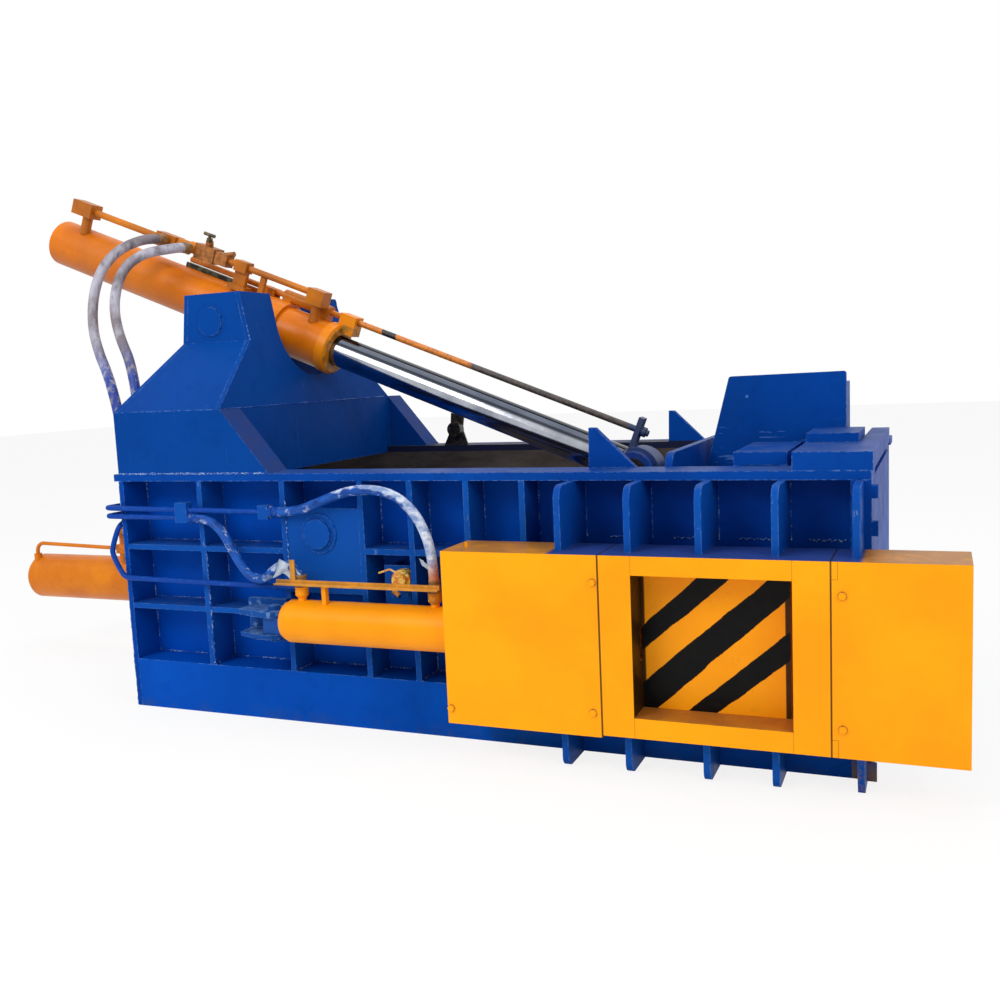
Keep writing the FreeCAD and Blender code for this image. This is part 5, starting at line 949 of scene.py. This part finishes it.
brushed_black = 0.0
for upper_line, lower_line in ((((0.878, 0.551), (1.071, 0.729)), ((0.882, 0.464), (1.192, 0.730))),
                               (((0.878, 0.341), (1.315, 0.723)), ((0.940, 0.251), (1.399, 0.672))),
                               (((1.043, 0.239), (1.403, 0.551)), ((1.155, 0.243), (1.407, 0.452)))):
    band = below_line(*upper_line).step(-0.001, 0.001) * below_line(*lower_line).fall(-0.001, 0.001)
    brushed_black = band + brushed_black
panel_face = (-gate_yellow.facing("Y")).step(0.9, 0.99) * gate_yellow.x.step(0.868, 0.870)
brush_slant = {"Vector": gate_yellow.place, "Rotation": (0.0, 0.72, 0.0)}
streaks = gate_yellow.node("Mapping", inputs=brush_slant)
brush_marks = gate_yellow.node("TexNoise", inputs={"Vector": streaks, "Scale": 30.0, "Detail": 4.0})
black_paint = gate_yellow.mix(brush_marks.step(0.4, 0.7), (5, 5, 6), (13, 12, 11))
gate_yellow.layer(gate_yellow.noise(16.0, 5.0, 0.7).step(0.62, 0.74) * 0.25, (140, 96, 40))
left_edge = gate_yellow.x.fall(0.882, 0.888)
right_edge = gate_yellow.x.step(1.388, 1.391)
dark_part = brushed_black.lesser(1.0).greater(left_edge * 0.95).greater(right_edge * 0.95)
gate_yellow.layer(dark_part * panel_face, black_paint)
gate_yellow.roughness(brush_marks * 0.25 + 0.3)
gate_yellow.paint("gate_plate")

# ---- Gate cylinder
# A short yellow cylinder with two welded ports, a support angle and a lug at its rear; the lug and the
# clevis were caught by the blue spray.
cylinder_yellow = sprayed_yellow("gate_cylinder_yellow", (250, 158, 10), (238, 144, 8))
drips = cylinder_yellow.noise(26.0, 5.0, 0.65, (1.0, 1.0, 0.4)).step(0.62, 0.74)
cylinder_yellow.layer(drips * 0.4, (190, 122, 44))
port_part = cylinder_yellow.z.step(0.585, 0.595) * cylinder_yellow.noise(40.0, 5.0, 0.65).step(0.30, 0.50)
cylinder_yellow.layer(port_part * 0.5, (222, 140, 26))
front_port = port_part * cylinder_yellow.x.step(-0.2, -0.1)
cylinder_yellow.layer(front_port * 0.7, (128, 94, 44))
cylinder_yellow.layer(cylinder_yellow.x.fall(-0.708, -0.696), (22, 74, 150))
cylinder_yellow.paint("gate_cylinder_barrel")

clevis_blue = sprayed_blue("clevis_blue", (24, 74, 148), (14, 58, 128), 0.9)
clevis_dust = clevis_blue.facing("Z").step(0.6, 0.98) * clevis_blue.noise(24.0, 5.0, 0.65).step(0.36, 0.58)
clevis_lines = clevis_blue.scratches(40.0, (0.4, 1.0, 0.4), 1.9, 0.60)
clevis_blue.layer((clevis_dust * 0.5 + clevis_lines * 0.6).lesser(1.0), (110, 146, 192))
clevis_blue.paint("gate_cylinder_bracket")

angle_brown = Finish("stained_angle", metallic=0.2, specular=0.4)
angle_brown.mottle(angle_brown.noise(18.0, 5.0, 0.65), (0.40, 0.62), (214, 146, 34),
                   (176, 118, 36), 0.4, 0.25, 0.001)
angle_brown.layer(angle_brown.x.fall(-0.70, -0.61) * 0.6, (96, 70, 50))
# painted highlight: the upper face of the angle is lightened
angle_brown.layer(angle_brown.facing("Z").step(0.7, 0.98) * 0.6, (240, 184, 92))
angle_brown.paint("pipe_support_angle")

# ---- Proximity sensor
# A moulded knob on the bracket between two ribs, with a short loose lead and a clip below it; all of it
# is mottled with both paints.
sensor_mottle = Finish("mottled_sensor", specular=0.45)
sensor_spots = sensor_mottle.noise(48.0, 4.0, 0.6)
sensor_specks = sensor_mottle.noise(90.0, 4.0, 0.6, (1.0, 1.0, 1.0), 3.3)
sensor_mottle.colour(sensor_mottle.mix(sensor_spots.step(0.42, 0.56), (206, 120, 24), (232, 190, 70)))
sensor_mottle.layer(sensor_specks.step(0.58, 0.64), (226, 222, 200))
sensor_mottle.layer(sensor_spots.step(0.60, 0.66), (92, 92, 48))
sensor_mottle.roughness(sensor_specks * 0.4 + 0.2)
sensor_mottle.relief(sensor_spots, 0.003)
sensor_mottle.paint("sensor_fitting")
